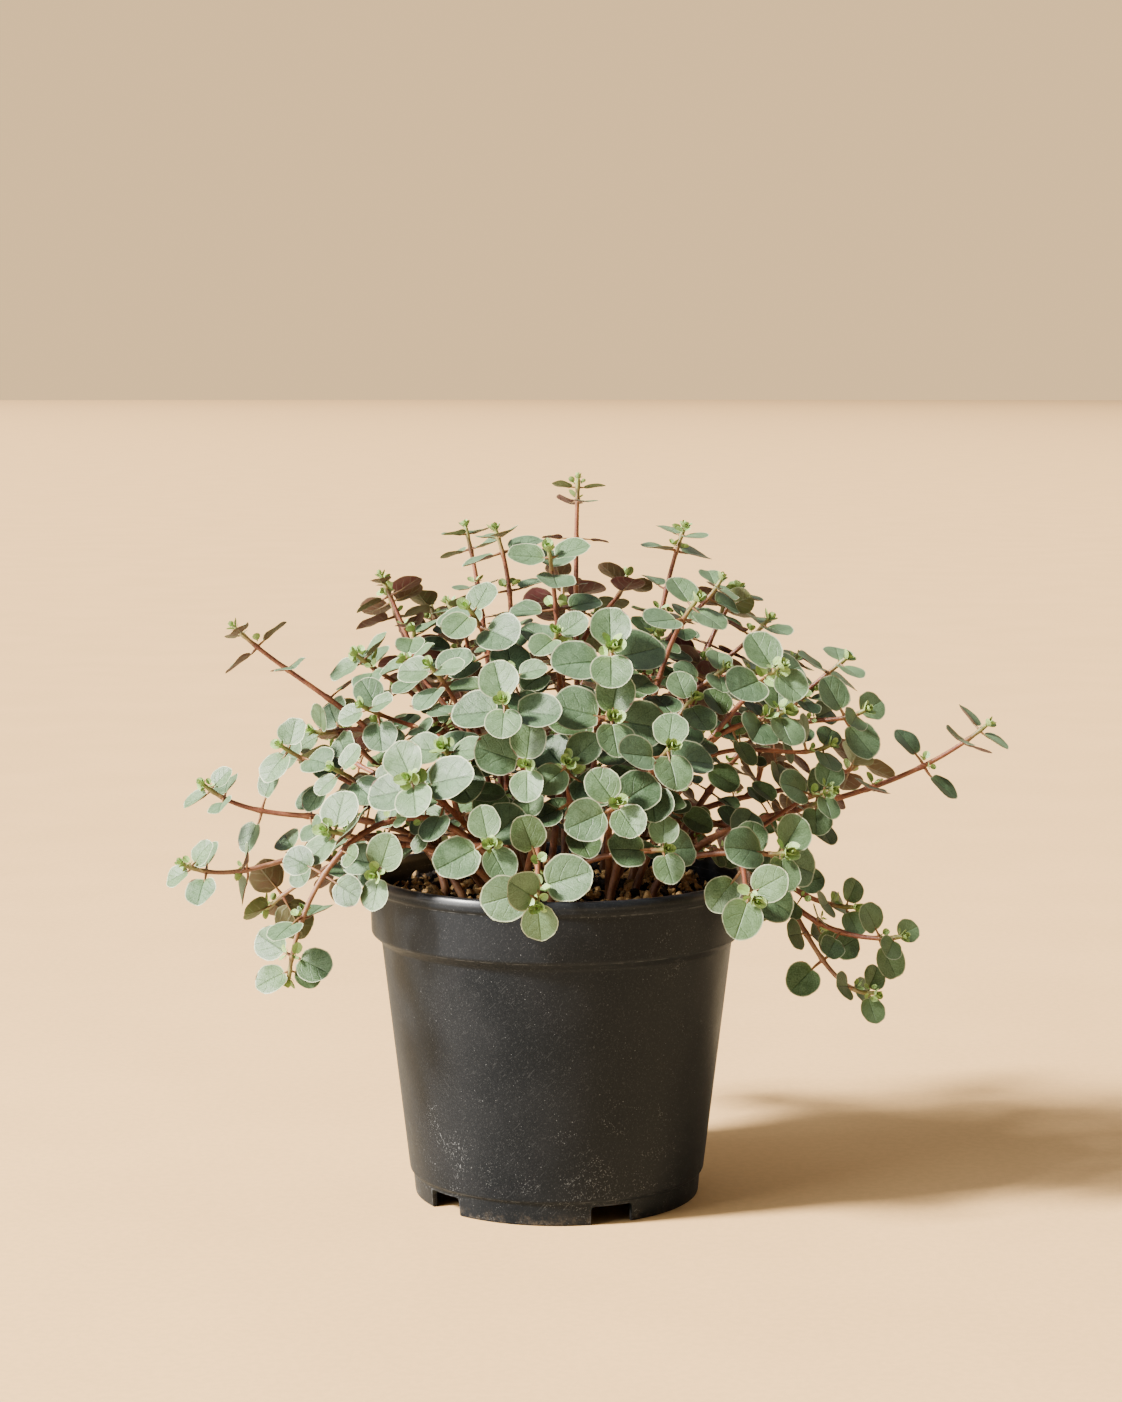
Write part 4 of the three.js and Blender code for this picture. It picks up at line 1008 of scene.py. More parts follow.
def add_blades(surface, leaves, steps, settings):
    """The blades of many leaves. On a disc with the polar coordinates r and a, a from the tip:
    outline: 1, less a notch round the base, less a small dent at the tip, plus three waves in a;
    along = (1 + r cos a outline) / 2 and across = width r sin a outline / 2, in blade lengths;
    height = fold |across| (1.2 - 0.7 along) + bend along² - dome r² / 4 + ripple r² sin(4 a).
    The underside is as far below as the blade is thick there: thickness times 1 - r⁴."""
    if not leaves:
        return
    along, across, quads = disc_grid(steps)
    r = np.hypot(along, across)
    a = np.arctan2(across, along)
    draw = np.random.default_rng(int(leaves[0].stem) + 11)
    many = (len(leaves), 1)
    size, young = gathered(leaves, "size"), gathered(leaves, "fresh")
    low = (LOW_FROM - gathered(leaves, "middle")[..., 2]) / (LOW_FROM - LOW_TO)
    fresh = young + LOW_FRESH * np.clip(low, 0, 1)
    notch = draw.uniform(*NOTCHES, many)
    dent = draw.uniform(*DENTS, many)
    waves = [draw.uniform(*WAVES, many) for _ in WAVE_CYCLES]
    phases = [draw.uniform(0, 2 * math.pi, many) for _ in range(len(WAVE_CYCLES) + 1)]
    width = draw.uniform(*WIDTHS, many) - YOUNG_NARROWER * young
    fold = draw.uniform(LEAST_FOLD, settings.fold, many) + YOUNG_BEND * young
    bend = draw.uniform(-settings.droop, MOST_RISE, many) + YOUNG_BEND * young
    dome = draw.uniform(*DOMES, many)
    ripple = draw.uniform(*RIPPLES, many)
    # tone carries each leaf's bloom, with the painted shade of covered, inner and deeper leaves
    tone = draw.uniform(*TONES, many) * gathered(leaves, "bloom")
    outline = 1 - notch * np.exp(-(((math.pi - np.abs(a)) / NOTCH_ANGLE) ** 2))
    outline = outline - dent * np.exp(-((a / DENT_ANGLE) ** 2))
    for wave, cycles, phase in zip(waves, WAVE_CYCLES, phases):
        outline = outline + wave * np.sin(cycles * a + phase)
    x = (1 + r * np.cos(a) * outline) / 2
    x = (x - notch / 2) / (1 - notch / 2)
    y = width * r * np.sin(a) * outline / 2
    z = fold * np.abs(y) * (1.2 - 0.7 * x) + bend * x * x - dome * r**2 / 4
    z = z + ripple * r**2 * np.sin(4 * a + phases[-1])
    axes = [gathered(leaves, key) for key in ("rib", "side", "face")]
    moved = sum((value * size)[..., None] * axis for value, axis in zip((x, y, z), axes))
    top = gathered(leaves, "base") + moved
    thickness = settings.thickness / MM * np.minimum(size / FULL_THICKNESS, 1) * (1 - r**4)
    inner = np.flatnonzero(r < OUTER_RING)
    under = (top - thickness[..., None] * axes[2])[:, inner]
    points = np.concatenate([top, under], 1)
    step = points.shape[1]
    under_index = np.arange(len(r))
    under_index[inner] = len(r) + np.arange(len(inner))
    place = np.stack([along, across], -1) * 0.5 + 0.5
    place = np.tile(np.concatenate([place, place[inner]]), (len(leaves), 1))
    crease = np.where(r > OUTER_RING, OUTLINE, 0) | np.where(np.abs(across) < 0.001, MIDRIB, 0)
    crease = np.tile(np.concatenate([crease, np.zeros(len(inner), int)]), len(leaves))
    carried = {"fresh": np.repeat(fresh[:, 0], step), "tone": np.repeat(tone[:, 0], step)}
    faces = {TOP_LOOK: copies(quads, len(leaves), step)}
    faces[UNDER_LOOK] = copies(under_index[quads][:, ::-1], len(leaves), step)
    surface.add(points.reshape(-1, 3), faces, place=place, crease=crease, **carried)


STALK_SIDES = 6
SMALL_STALK_SIDES = 4
STALK_STEPS = 6
RIB_STEPS = 4
RIB_SHARE = 0.62  # how far along the blade its midrib stands out below
STALK_FRESH = 0.4  # how green a stalk is at the end of its rib


def add_stalks(surface, leaves, sides, settings):
    """The leafstalks, each a tube along a cubic curve from the stem to the blade's base, that runs
    on below the blade as its midrib and thins out to nothing."""
    if not leaves:
        return
    start, outward, base = (gathered(leaves, key) for key in ("start", "outward", "base"))
    rib, face, size = (gathered(leaves, key) for key in ("rib", "face", "size"))
    size = size[..., None]
    reach = length(base - start)[..., None]
    t = np.linspace(0, 1, STALK_STEPS)[:, None]
    k = 1 - t
    end = base - face * 0.02 * size
    stalk = k**3 * start + 3 * k * k * t * (start + outward * reach * 0.4)
    stalk = stalk + 3 * k * t * t * (end - rib * reach * 0.35) + t**3 * end
    s = np.linspace(0, RIB_SHARE, RIB_STEPS + 1)[1:, None]
    ridge = base + rib * size * s - face * (settings.thickness / MM * 0.9)
    paths = np.concatenate([stalk, ridge], 1)
    thick = settings.stalk_radius / MM * np.clip(size[..., 0] / 10, 0.32, 1.15)
    radii = np.concatenate([1.25 - 0.45 * t[:, 0], 0.62 * (1 - s[:, 0] / RIB_SHARE) + 0.04])
    points, faces = tubes(paths, thick * radii, unit(gathered(leaves, "side")[:, 0]), sides)
    along = np.repeat(np.linspace(0.0, STALK_FRESH, paths.shape[1]), sides)
    along = np.concatenate([along, [0.0, STALK_FRESH]])[None]
    fresh = np.clip(along + 1.2 * gathered(leaves, "fresh"), 0, 1).ravel()
    surface.add(points, {STEM_LOOK: faces}, fresh=fresh, tone=0.2)


NODE_LENGTH = 0.9  # half length of the swelling of a stem where leaves leave it
NODE_NEAR = 1.5  # how near to a shoot a leaf starts that belongs to it
BURIED_RINGS = 4  # of a main shoot's tube, in the soil
STATION_LENGTH = 1.2
GREEN_LENGTH = 8.0  # of a shoot's tip
WOODY_HEIGHT = 26.0  # above the soil, within which old stems turn tan


def add_shoots(surface, shoots, leaves, settings):
    """The shoots, each a tube with a swelling wherever a leaf leaves it and a rounded tip:
    radius(s) = taper(s) (1 + swelling sum exp(-((s - node) / node length)²))."""
    for path in shoots:
        steps = int(path.length / STATION_LENGTH) + 8
        s = np.linspace(0, path.length, steps)
        line = np.stack([np.interp(s, path.along, path.points[:, k]) for k in range(3)], 1)
        radii = settings.slim * path.radius_at(s / path.length)
        starts = np.array([leaf.start for leaf in leaves])
        apart = length(starts[:, None] - path.points[None])
        nodes = np.unique(path.along[apart.argmin(1)[apart.min(1) < NODE_NEAR]].round(1))
        swelling = np.exp(-(((s[:, None] - nodes[None]) / NODE_LENGTH) ** 2)).sum(1)
        radii = radii * (1 + settings.swelling * np.minimum(swelling, 1))
        green = np.clip((s - (path.length - GREEN_LENGTH)) / GREEN_LENGTH, 0, 1)
        if path.is_main:
            root = line[0] - UP * np.linspace(ROOT_DEPTH, 1.0, BURIED_RINGS)[:, None]
            line = np.concatenate([root, line])
            radii = np.concatenate([np.full(BURIED_RINGS, radii[0]), radii])
            green = np.concatenate([np.zeros(BURIED_RINGS), green])
        tip = line[-1] + path.tip_way * TIP_POINT * np.array([[0.5], [1.0]])
        line = np.concatenate([line, tip])
        radii = np.concatenate([radii, radii[-1] * np.array([0.75, 0.3])])
        green = np.concatenate([green, [1, 1]])
        chord = unit((path.points[-1] - path.points[0]) * LEVEL)
        across = cross(chord, UP)
        points, faces = tubes(line[None], radii[None], across[None], settings.sides)
        fresh = np.concatenate([np.repeat(green, settings.sides), [0, 1]])
        bark = np.clip(1 - (points[:, 2] - SOIL_EDGE_Z) / WOODY_HEIGHT, 0, 1)
        woody = bark if path.is_main else 0
        surface.add(points, {STEM_LOOK: faces}, fresh=fresh, tone=woody)


# ---------------------------------------------------------------- turned and rounded shapes


def rounded(corners, radius, steps=4):
    """A profile with its inner corners rounded: each is replaced by the quadratic curve that leaves
    and meets its two sides at the radius, or at 0.4 of a side that is shorter than that needs."""
    corners = np.array(corners, float)
    middle = corners[1:-1]
    before, after = corners[:-2] - middle, corners[2:] - middle
    near = np.minimum(radius, 0.4 * length(before))[:, None]
    far = np.minimum(radius, 0.4 * length(after))[:, None]
    start, end = middle + unit(before) * near, middle + unit(after) * far
    t = np.linspace(0, 1, steps + 1)[:, None, None]
    arcs = (1 - t) ** 2 * start + 2 * t * (1 - t) * middle + t**2 * end
    inner = arcs.transpose(1, 0, 2).reshape(-1, 2)
    return np.concatenate([corners[:1], inner, corners[-1:]])


def turned(profile, segments):
    """A profile of (radius, height) that starts and ends on the axis, turned about it. The point at
    angle a is (radius cos a, radius sin a, height), and each end is one point."""
    angles = np.arange(segments) * 2 * math.pi / segments
    radius, height = profile[1:-1].T
    rings = np.stack([radius[:, None] * np.cos(angles), radius[:, None] * np.sin(angles)], -1)
    heights = np.broadcast_to(height[:, None, None], (len(radius), segments, 1))
    rings = np.concatenate([rings, heights], -1).reshape(-1, 3)
    poles = np.array([[0, 0, profile[0, 1]], [0, 0, profile[-1, 1]]])
    return np.concatenate([rings, poles]), list(capped_faces(len(radius), segments))


def closed_tube(low, high, first):
    """The solid between two rings of points, whose first point has this number in the mesh. The
    rings run counterclockwise seen from the high one."""
    count = len(low)
    sides = (grid_faces(2, count, closed=True) + first).tolist()
    ends = [list(range(first, first + count))[::-1], list(range(first + count, first + 2 * count))]
    return np.concatenate([low, high]), sides + ends


# ---------------------------------------------------------------- shader wiring


class Wiring:
    """Adds nodes to a tree and joins them. An input is a value or another node's output."""

    def __init__(self, tree):
        self.tree = tree

    def node(self, kind, inputs=None, **settings):
        """A node of a kind, with its settings and inputs. Returns the node."""
        node = self.tree.nodes.new(kind)
        for key, value in settings.items():
            setattr(node, key, value)
        for key, value in (inputs or {}).items():
            if isinstance(value, NodeSocket):
                self.tree.links.new(value, node.inputs[key])
            else:
                node.inputs[key].default_value = value
        return node

    def math(self, operation, *values, clamp=False):
        """The result of a Math node."""
        inputs = dict(enumerate(values))
        return self.node("ShaderNodeMath", inputs, operation=operation, use_clamp=clamp).outputs[0]

    def ramp(self, value, low, high, out_low=0.0, out_high=1.0):
        """A value eased from one range into another, and held outside it."""
        inputs = {"Value": value, "From Min": low, "From Max": high}
        inputs.update({"To Min": out_low, "To Max": out_high})
        node = self.node("ShaderNodeMapRange", inputs, interpolation_type="SMOOTHSTEP")
        return node.outputs[0]

    def mix(self, factor, *colours):
        """Two colours mixed. Each is a node's output or three numbers."""
        a, b = (some if isinstance(some, NodeSocket) else (*some, 1.0) for some in colours)
        return self.node("ShaderNodeMix", {0: factor, 6: a, 7: b}, data_type="RGBA").outputs[2]

    def noise(self, vector, scale, detail=2.0, roughness=0.5):
        """The value of a Noise Texture."""
        inputs = {"Vector": vector, "Scale": scale, "Detail": detail, "Roughness": roughness}
        return self.node("ShaderNodeTexNoise", inputs).outputs["Fac"]

    def attribute(self, name):
        """A value that the mesh's points carry."""
        return self.node("ShaderNodeAttribute", attribute_name=name).outputs["Fac"]

    def place(self):
        """Object coordinates."""
        return self.node("ShaderNodeTexCoord").outputs["Object"]

    def group(self, name, **inputs):
        """The outputs of a node group, which is built once and then reused, with these inputs."""
        tree = bpy.data.node_groups.get(name) or GROUPS[name]()
        return self.node("ShaderNodeGroup", inputs, node_tree=tree).outputs

    def mottle(self, place, patches, grains, grain):
        """The value of the mottle group."""
        inputs = {"Place": place, "Patches": patches, "Grains": grains, "Grain": grain}
        return self.group("mottle", **inputs)["Value"]

    def join(self, sockets, **values):
        """Joins values to the inputs that have their names."""
        for key, value in values.items():
            self.tree.links.new(value, sockets[key.replace("_", " ")])

    def bump(self, height, distance, strength=1.0):
        """The normal of a Bump node. distance is the depth in metres of a height of 1."""
        inputs = {"Height": height, "Distance": distance, "Strength": strength}
        return self.node("ShaderNodeBump", inputs).outputs["Normal"]


def new_group(name, inputs, outputs):
    """An empty node group with inputs, each with its kind and value, and with outputs that are
    values. Returns its wiring and both ends."""
    tree = bpy.data.node_groups.new(name, "ShaderNodeTree")
    for key, (kind, default) in inputs.items():
        socket = tree.interface.new_socket(key, in_out="INPUT", socket_type=kind)
        if default is not None:
            socket.default_value = default
    for key in outputs:
        tree.interface.new_socket(key, in_out="OUTPUT", socket_type="NodeSocketFloat")
    wiring = Wiring(tree)
    start = wiring.node("NodeGroupInput").outputs
    end = wiring.node("NodeGroupOutput").inputs
    return wiring, start, end


def mottle_group():
    """Mottling at two scales: coarse patches and fine grains, mixed by Grain, as one value."""
    inputs = {
        "Place": ("NodeSocketVector", None),
        "Patches": ("NodeSocketFloat", 300.0),
        "Grains": ("NodeSocketFloat", 2500.0),
        "Grain": ("NodeSocketFloat", 0.5),
    }
    wiring, start, end = new_group("mottle", inputs, ["Value"])
    patches = wiring.ramp(wiring.noise(start["Place"], start["Patches"], 3.0), 0.3, 0.7)
    grains = wiring.ramp(wiring.noise(start["Place"], start["Grains"], 2.0, 0.6), 0.38, 0.62)
    kept = wiring.math("MULTIPLY", patches, wiring.math("SUBTRACT", 1.0, start["Grain"]))
    wiring.join(end, Value=wiring.math("MULTIPLY_ADD", grains, start["Grain"], kept))
    return wiring.tree


VEIN_STEP = 0.58  # between side veins, in half blade lengths
VEIN_WAVER = 260.0  # scale of the noise that bends the veins


def veins_group():
    """The veins of a round blade from its own coordinates, with along from -1 at the base to 1 at
    the tip: the midrib where across is 0, and side veins where
    along - 0.75 |across| - 0.25 across² + Waver / 2 is a whole number of steps past the base.
    Margin rises at the outline, Heart falls from 1 in the middle, Foot from 1 at the base, and
    Height is the relief of the upper face."""
    inputs = {"Width": ("NodeSocketFloat", 0.03), "Waver": ("NodeSocketFloat", 0.5)}
    outputs = ("Midrib", "Veins", "Margin", "Heart", "Foot", "Height")
    wiring, start, end = new_group("blade veins", inputs, outputs)
    math_, ramp = wiring.math, wiring.ramp
    own = wiring.node("ShaderNodeUVMap", uv_map="leaf").outputs["UV"]
    split = wiring.node("ShaderNodeSeparateXYZ", {0: own}).outputs
    along = math_("MULTIPLY_ADD", split["X"], 2.0, -1.0)
    across = math_("ABSOLUTE", math_("MULTIPLY_ADD", split["Y"], 2.0, -1.0))
    squared = math_("POWER", across, 2.0)
    radius = math_("SQRT", math_("ADD", math_("POWER", along, 2.0), squared))
    midrib = ramp(across, math_("MULTIPLY", start["Width"], 0.35), start["Width"], 1.0, 0.0)
    midrib = math_("MULTIPLY", midrib, ramp(along, 0.5, 0.95, 1.0, 0.15))
    slant = math_("MULTIPLY_ADD", squared, -0.25, math_("MULTIPLY_ADD", across, -0.75, along))
    slant = math_("MULTIPLY_ADD", start["Waver"], 0.5, slant)
    steps = math_("DIVIDE", math_("ADD", slant, 0.68), VEIN_STEP)
    off = math_("ABSOLUTE", math_("SUBTRACT", math_("FRACT", math_("ADD", steps, 0.5)), 0.5))
    off = math_("MULTIPLY", off, VEIN_STEP)
    veins = ramp(off, math_("MULTIPLY", start["Width"], 0.25), start["Width"], 1.0, 0.0)
    veins = math_("MULTIPLY", veins, ramp(across, 0.5, 0.88, 1.0, 0.0))
    veins = math_("MULTIPLY", veins, ramp(steps, -0.5, -0.2))
    groove = math_("MAXIMUM", midrib, math_("MULTIPLY", veins, 0.45))
    wiring.join(
        end, Midrib=midrib, Veins=veins, Margin=ramp(radius, 0.92, 0.98),
        Heart=ramp(radius, 0.15, 0.95, 1.0, 0.0), Foot=ramp(along, -1.0, -0.35, 1.0, 0.0),
        Height=math_("SUBTRACT", 1.0, groove),
    )
    return wiring.tree


SPECKS = [(950.0, 0.2, 0.09, 0.014), (1900.0, 0.28, 0.12, 0.035)]
STREAK = (0.0004, 0.0004, 0.0036)  # width and length of a scratch in metres
STREAK_TURNS = [(0.2, 0.8, 0.0), (0.8, -0.75, 0.3), (1.2, 0.3, -0.4), (-0.4, 0.15, 0.9)]


def wear_group():
    """Wear of moulded plastic: Specks are small dots, faint all over and bright in drifts, and
    Scratches short thin streaks in four slanting directions, in the same drifts. Amount widens the
    drifts, and Grime is a soft patchy value for dust. SPECKS says how fine and how large two sizes
    of specks are, and the share of them that is bright: more in the drifts, and a few elsewhere."""
    inputs = {"Place": ("NodeSocketVector", None), "Amount": ("NodeSocketFloat", 0.5)}
    wiring, start, end = new_group("plastic wear", inputs, ("Specks", "Scratches", "Grime"))
    math_, ramp = wiring.math, wiring.ramp
    edge = math_("SUBTRACT", 0.66, math_("MULTIPLY", start["Amount"], 0.3))
    drift = ramp(wiring.noise(start["Place"], 62.0, 4.0, 0.65), edge, math_("ADD", edge, 0.22))
    specks = 0.0
    for scale, size, share, few in SPECKS:
        inputs = {"Vector": start["Place"], "Scale": scale}
        cells = wiring.node("ShaderNodeTexVoronoi", inputs).outputs
        dots = ramp(cells["Distance"], 0.3 * size, size, 1.0, 0.0)
        chance = wiring.node("ShaderNodeSeparateColor", {0: cells["Color"]}).outputs
        bright = math_("LESS_THAN", chance[0], math_("MULTIPLY_ADD", drift, share, few))
        faint = math_("MULTIPLY", math_("LESS_THAN", chance[1], 0.4), 0.2)
        specks = math_("MAXIMUM", specks, math_("MULTIPLY", dots, math_("MAXIMUM", bright, faint)))
    streaks = []
    for turn in STREAK_TURNS:
        inputs = {"Vector": start["Place"], "Rotation": turn, "Scale": STREAK}
        slanted = wiring.node("ShaderNodeMapping", inputs, vector_type="TEXTURE").outputs[0]
        streaks.append(ramp(wiring.noise(slanted, 1.0, 1.0), 0.675, 0.73))
    streak = math_("MAXIMUM", math_("MAXIMUM", *streaks[:2]), math_("MAXIMUM", *streaks[2:]))
    streak = math_("MULTIPLY", streak, ramp(drift, 0.1, 0.9, 0.12, 0.8))
    grime = ramp(wiring.noise(start["Place"], 260.0, 5.0, 0.7), 0.38, 0.62)
    wiring.join(end, Specks=specks, Scratches=streak, Grime=grime)
    return wiring.tree


GROUPS = {"mottle": mottle_group, "blade veins": veins_group, "plastic wear": wear_group}


def new_material(name, **constants):
    """A material with one Principled shader, whose constants are set on its own sockets."""
    material = bpy.data.materials.new(name)
    material.use_nodes = True
    shader = material.node_tree.nodes["Principled BSDF"]
    for key, value in constants.items():
        shader.inputs[key.replace("_", " ")].default_value = value
    return material, Wiring(material.node_tree), shader


# ---------------------------------------------------------------- settings


def colour_setting(name, description, default):
    """A colour setting."""
    return FloatVectorProperty(
        name=name, description=description, default=default, subtype="COLOR", min=0, max=1, size=3
    )


def length_setting(name, description, default):
    """A length setting, with its default in mm."""
    return FloatProperty(name=name, description=description, default=default * MM, unit="LENGTH")


def number_setting(name, description, default):
    """A plain number setting."""
    return FloatProperty(name=name, description=description, default=default)


def angle_setting(name, description, default):
    """An angle setting, with its default in degrees."""
    return FloatProperty(
        name=name, description=description, default=math.radians(default), subtype="ANGLE",
        unit="ROTATION",
    )


def count_setting(name, description, default, low, high):
    """A whole number setting."""
    return IntProperty(name=name, description=description, default=default, min=low, max=high)


class PileaPotSettings(PropertyGroup):
    """Sizes and colours of the pot."""

    segments: count_setting("Segments", "Number of flat strips round the pot", 240, 24, 720)
    edge: length_setting("Edge", "Radius of the pot's moulded edges", 0.6)
    plastic: colour_setting("Plastic", "Colour of the plastic", (0.0026, 0.0042, 0.0064))
    haze: colour_setting("Haze", "Colour of its faint greyish bloom", (0.0088, 0.0100, 0.0120))
    scuff: colour_setting("Scuffs", "Colour of scratches and specks", (0.135, 0.138, 0.138))
    dirt: colour_setting("Dirt", "Colour of dust and splashed soil", (0.07, 0.055, 0.04))


class PileaSoilSettings(PropertyGroup):
    """Sizes and colours of the potting mix."""

    crumbs: count_setting("Crumbs", "Number of dark crumbs on the soil", 1500, 0, 2200)
    bits: count_setting("Bits", "Number of tan bits on the soil", 800, 0, 1000)
    crumb_size: length_setting("Crumb size", "Mean radius of a crumb", 0.6)
    bit_size: length_setting("Bit size", "Mean radius of a tan bit", 0.85)
    dark: colour_setting("Dark", "Colour of the damp mix", (0.003, 0.002, 0.0014))
    brown: colour_setting("Brown", "Colour of its drier crumbs", (0.032, 0.017, 0.008))
    tan: colour_setting("Tan", "Colour of bark and pumice bits", (0.70, 0.44, 0.18))


class PileaLeafSettings(PropertyGroup):
    """Shape and colours of the leaves."""

    thickness: length_setting("Thickness", "Thickness of a blade", 0.5)
    fold: number_setting("Fold", "Steepest rise of a blade's sides from its midrib", 0.32)
    droop: number_setting("Droop", "Most that a blade's tip bends down, in blade lengths", 0.09)
    stalk_radius: length_setting("Stalk radius", "Radius of a large leaf's stalk", 0.42)
    silver: colour_setting("Silver", "Bloom on the upper face", (0.108, 0.181, 0.096))
    green: colour_setting("Green", "Green of the upper face", (0.018, 0.044, 0.014))
    margin: colour_setting("Margin", "Pale line round the blade", (0.40, 0.44, 0.28))
    fresh: colour_setting("Fresh", "Green of buds", (0.35, 0.53, 0.14))
    wine: colour_setting("Wine", "Red of the underside", (0.105, 0.028, 0.028))
    olive: colour_setting("Olive", "Green of other undersides", (0.10, 0.125, 0.045))


class PileaStemSettings(PropertyGroup):
    """Shape and colours of the stems."""

    sides: count_setting("Sides", "Number of sides of a stem", 10, 6, 24)
    slim: number_setting("Slim", "Radius of a stem as a share of the model's", 0.8)
    swelling: number_setting("Swelling", "Extra radius where leaves leave a stem", 0.32)
    bark: colour_setting("Bark", "Red-brown of the stems", (0.25, 0.078, 0.035))
    shade: colour_setting("Shade", "Darker brown of the stems", (0.10, 0.028, 0.015))
    wood: colour_setting("Wood", "Tan of old stems near the soil", (0.24, 0.125, 0.058))
    tip: colour_setting("Tip", "Green of stalks and tips", (0.21, 0.215, 0.06))


class PileaStageSettings(PropertyGroup):
    """Camera, light and floor."""

    floor: colour_setting("Floor", "Colour of the floor", (0.73, 0.45, 0.185))
    bounce: colour_setting("Bounce", "Colour of the light off the floor", (0.50, 0.40, 0.26))
    sky: colour_setting("Sky", "Colour of the light from overhead", (0.94, 0.95, 0.98))
    sky_strength: number_setting("Sky strength", "Strength of that light", 0.72)
    wall: colour_setting("Wall", "Colour of the light from the horizon", (1.0, 0.66, 0.33))
    wall_strength: number_setting("Wall strength", "Strength of that light", 1.2)
    near_share: number_setting("Near share", "Share of light from behind the camera", 0.12)
    sun: colour_setting("Sun", "Colour of the main light", (1.0, 0.95, 0.88))
    sun_strength: number_setting("Sun strength", "Strength of the main light", 17.0)
    sun_spread: angle_setting("Sun spread", "How soft the main light is", 9.0)
    window_power: number_setting("Window power", "Watts of the soft light on the left", 12.0)
    lens: number_setting("Lens", "Focal length in mm", 77.0)
    pitch: angle_setting("Pitch", "How far the camera looks down", 6.16)


# ---------------------------------------------------------------- materials


EDGE_WEAR_AND_HIGHLIGHT_LINES = [  # height and half width of the pale lines along the pot's moulded edges, in mm; under the bead the line is partly dust and partly a painted highlight of the edge
    (BEAD_BOTTOM_Z, 0.26), (COLLAR_BOTTOM_Z - 0.4, 0.22), (WALL_BOTTOM_Z - 0.2, 0.26),
]


def notch_distance(wiring, split):
    """How far a place is from the outline of the nearest foot notch, in metres, below 0 inside it:
    the larger of its distance beside the notch, measured round the foot, and above it."""
    math_ = wiring.math
    step = 2 * math.pi / NOTCH_COUNT
    angle = math_("ARCTAN2", split["Y"], split["X"])
    turn = math_("MULTIPLY_ADD", angle, 1 / step, 0.5 - math.radians(NOTCH_FIRST_ANGLE) / step)
    off = math_("ABSOLUTE", math_("SUBTRACT", math_("FRACT", turn), 0.5))
    beside = math_("MULTIPLY_ADD", off, step * FOOT_RADIUS * MM, -NOTCH_WIDTH / 2 * MM)
    above = math_("SUBTRACT", split["Z"], NOTCH_HEIGHT * MM)
    return math_("MAXIMUM", beside, above)


def plastic_material(settings):
    """Black moulded plastic: a faint haze, drifts of pale specks and scratches, pale lines of wear
    along the moulded edges, a pale line below the bead that is partly dust and partly a painted
    highlight, and splashed soil round the foot."""
    constants = {"Specular_IOR_Level": 0.16, "Coat_Roughness": 0.28}
    material, wiring, shader = new_material("pot plastic", **constants)
    math_, ramp = wiring.math, wiring.ramp
    place = wiring.place()
    split = wiring.node("ShaderNodeSeparateXYZ", {0: place}).outputs
    height = split["Z"]
    low = ramp(height, 5 * MM, 50 * MM, 1.0, 0.0)
    amount = math_("MULTIPLY_ADD", low, 0.42, 0.34)
    wear = wiring.group("plastic wear", Place=place, Amount=amount)
    mottle = wiring.mottle(place, 48.0, 1500.0, 0.3)
    colour = wiring.mix(mottle, settings.plastic, settings.haze)
    wear_and_highlight = ramp(math_("ABSOLUTE", notch_distance(wiring, split)), 0.1 * MM, 0.5 * MM, 1.0, 0.0)
    wear_and_highlight = math_("MULTIPLY", wear_and_highlight, ramp(height, 6.2 * MM, 6.6 * MM, 1.0, 0.0))
    # pale lines along the moulded edges: wear, and under the bead partly dust and partly a painted
    # highlight
    for level_, half in EDGE_WEAR_AND_HIGHLIGHT_LINES:
        off = math_("ABSOLUTE", math_("SUBTRACT", height, level_ * MM))
        wear_and_highlight = math_("MAXIMUM", wear_and_highlight, ramp(off, 0.3 * half * MM, half * MM, 1.0, 0.0))
    wear_and_highlight = math_("MULTIPLY", wear_and_highlight, ramp(wear["Grime"], 0.4, 1.0, 0.02, 0.3))
    dust = ramp(wiring.noise(place, 900.0, 5.0, 0.75), 0.42, 0.62)
    foot = ramp(height, 0.2 * MM, 4.2 * MM, 1.0, 0.0)
    foot = math_("MULTIPLY", foot, ramp(wear["Grime"], 0.2, 1.0))
    foot = math_("MULTIPLY", foot, math_("MULTIPLY_ADD", dust, 0.6, 0.15))
    colour = wiring.mix(foot, colour, settings.dirt)
    marks = math_("MULTIPLY", math_("MAXIMUM", wear["Specks"], wear["Scratches"]), 0.85)
    marks = math_("MAXIMUM", marks, wear_and_highlight)
    colour = wiring.mix(marks, colour, settings.scuff)
    rough = math_("MULTIPLY_ADD", mottle, 0.14, 0.38)
    rough = math_("ADD", rough, math_("MULTIPLY", math_("MAXIMUM", marks, foot), 0.3), clamp=True)
    grain = wiring.noise(place, 1900.0, 3.0)
    relief = math_("SUBTRACT", math_("MULTIPLY", grain, 0.5), math_("MULTIPLY", marks, 0.6))
    gloss = ramp(height, (BEAD_BOTTOM_Z + 1.5) * MM, BEAD_TOP_Z * MM, 0.0, 0.55)
    normal = wiring.bump(relief, 0.05 * MM, 0.6)
    wiring.join(shader.inputs, Base_Color=colour, Roughness=rough, Normal=normal, Coat_Weight=gloss)
    return material


def soil_material(name, dark, light, share):
    """Crumbly mix: two colours in patches and grains. share is how much of the light one shows."""
    material, wiring, shader = new_material(name, Roughness=0.9, Specular_IOR_Level=0.3)
    place = wiring.place()
    amount = wiring.math("MULTIPLY_ADD", wiring.mottle(place, 330.0, 2600.0, 0.5), 0.7, share - 0.8)
    amount = wiring.math("MULTIPLY_ADD", wiring.attribute("tone"), 0.6, amount, clamp=True)
    colour = wiring.mix(amount, dark, light)
    relief = wiring.bump(wiring.noise(place, 1700.0, 4.0, 0.65), 0.5 * MM)
    wiring.join(shader.inputs, Base_Color=colour, Normal=relief)
    return material


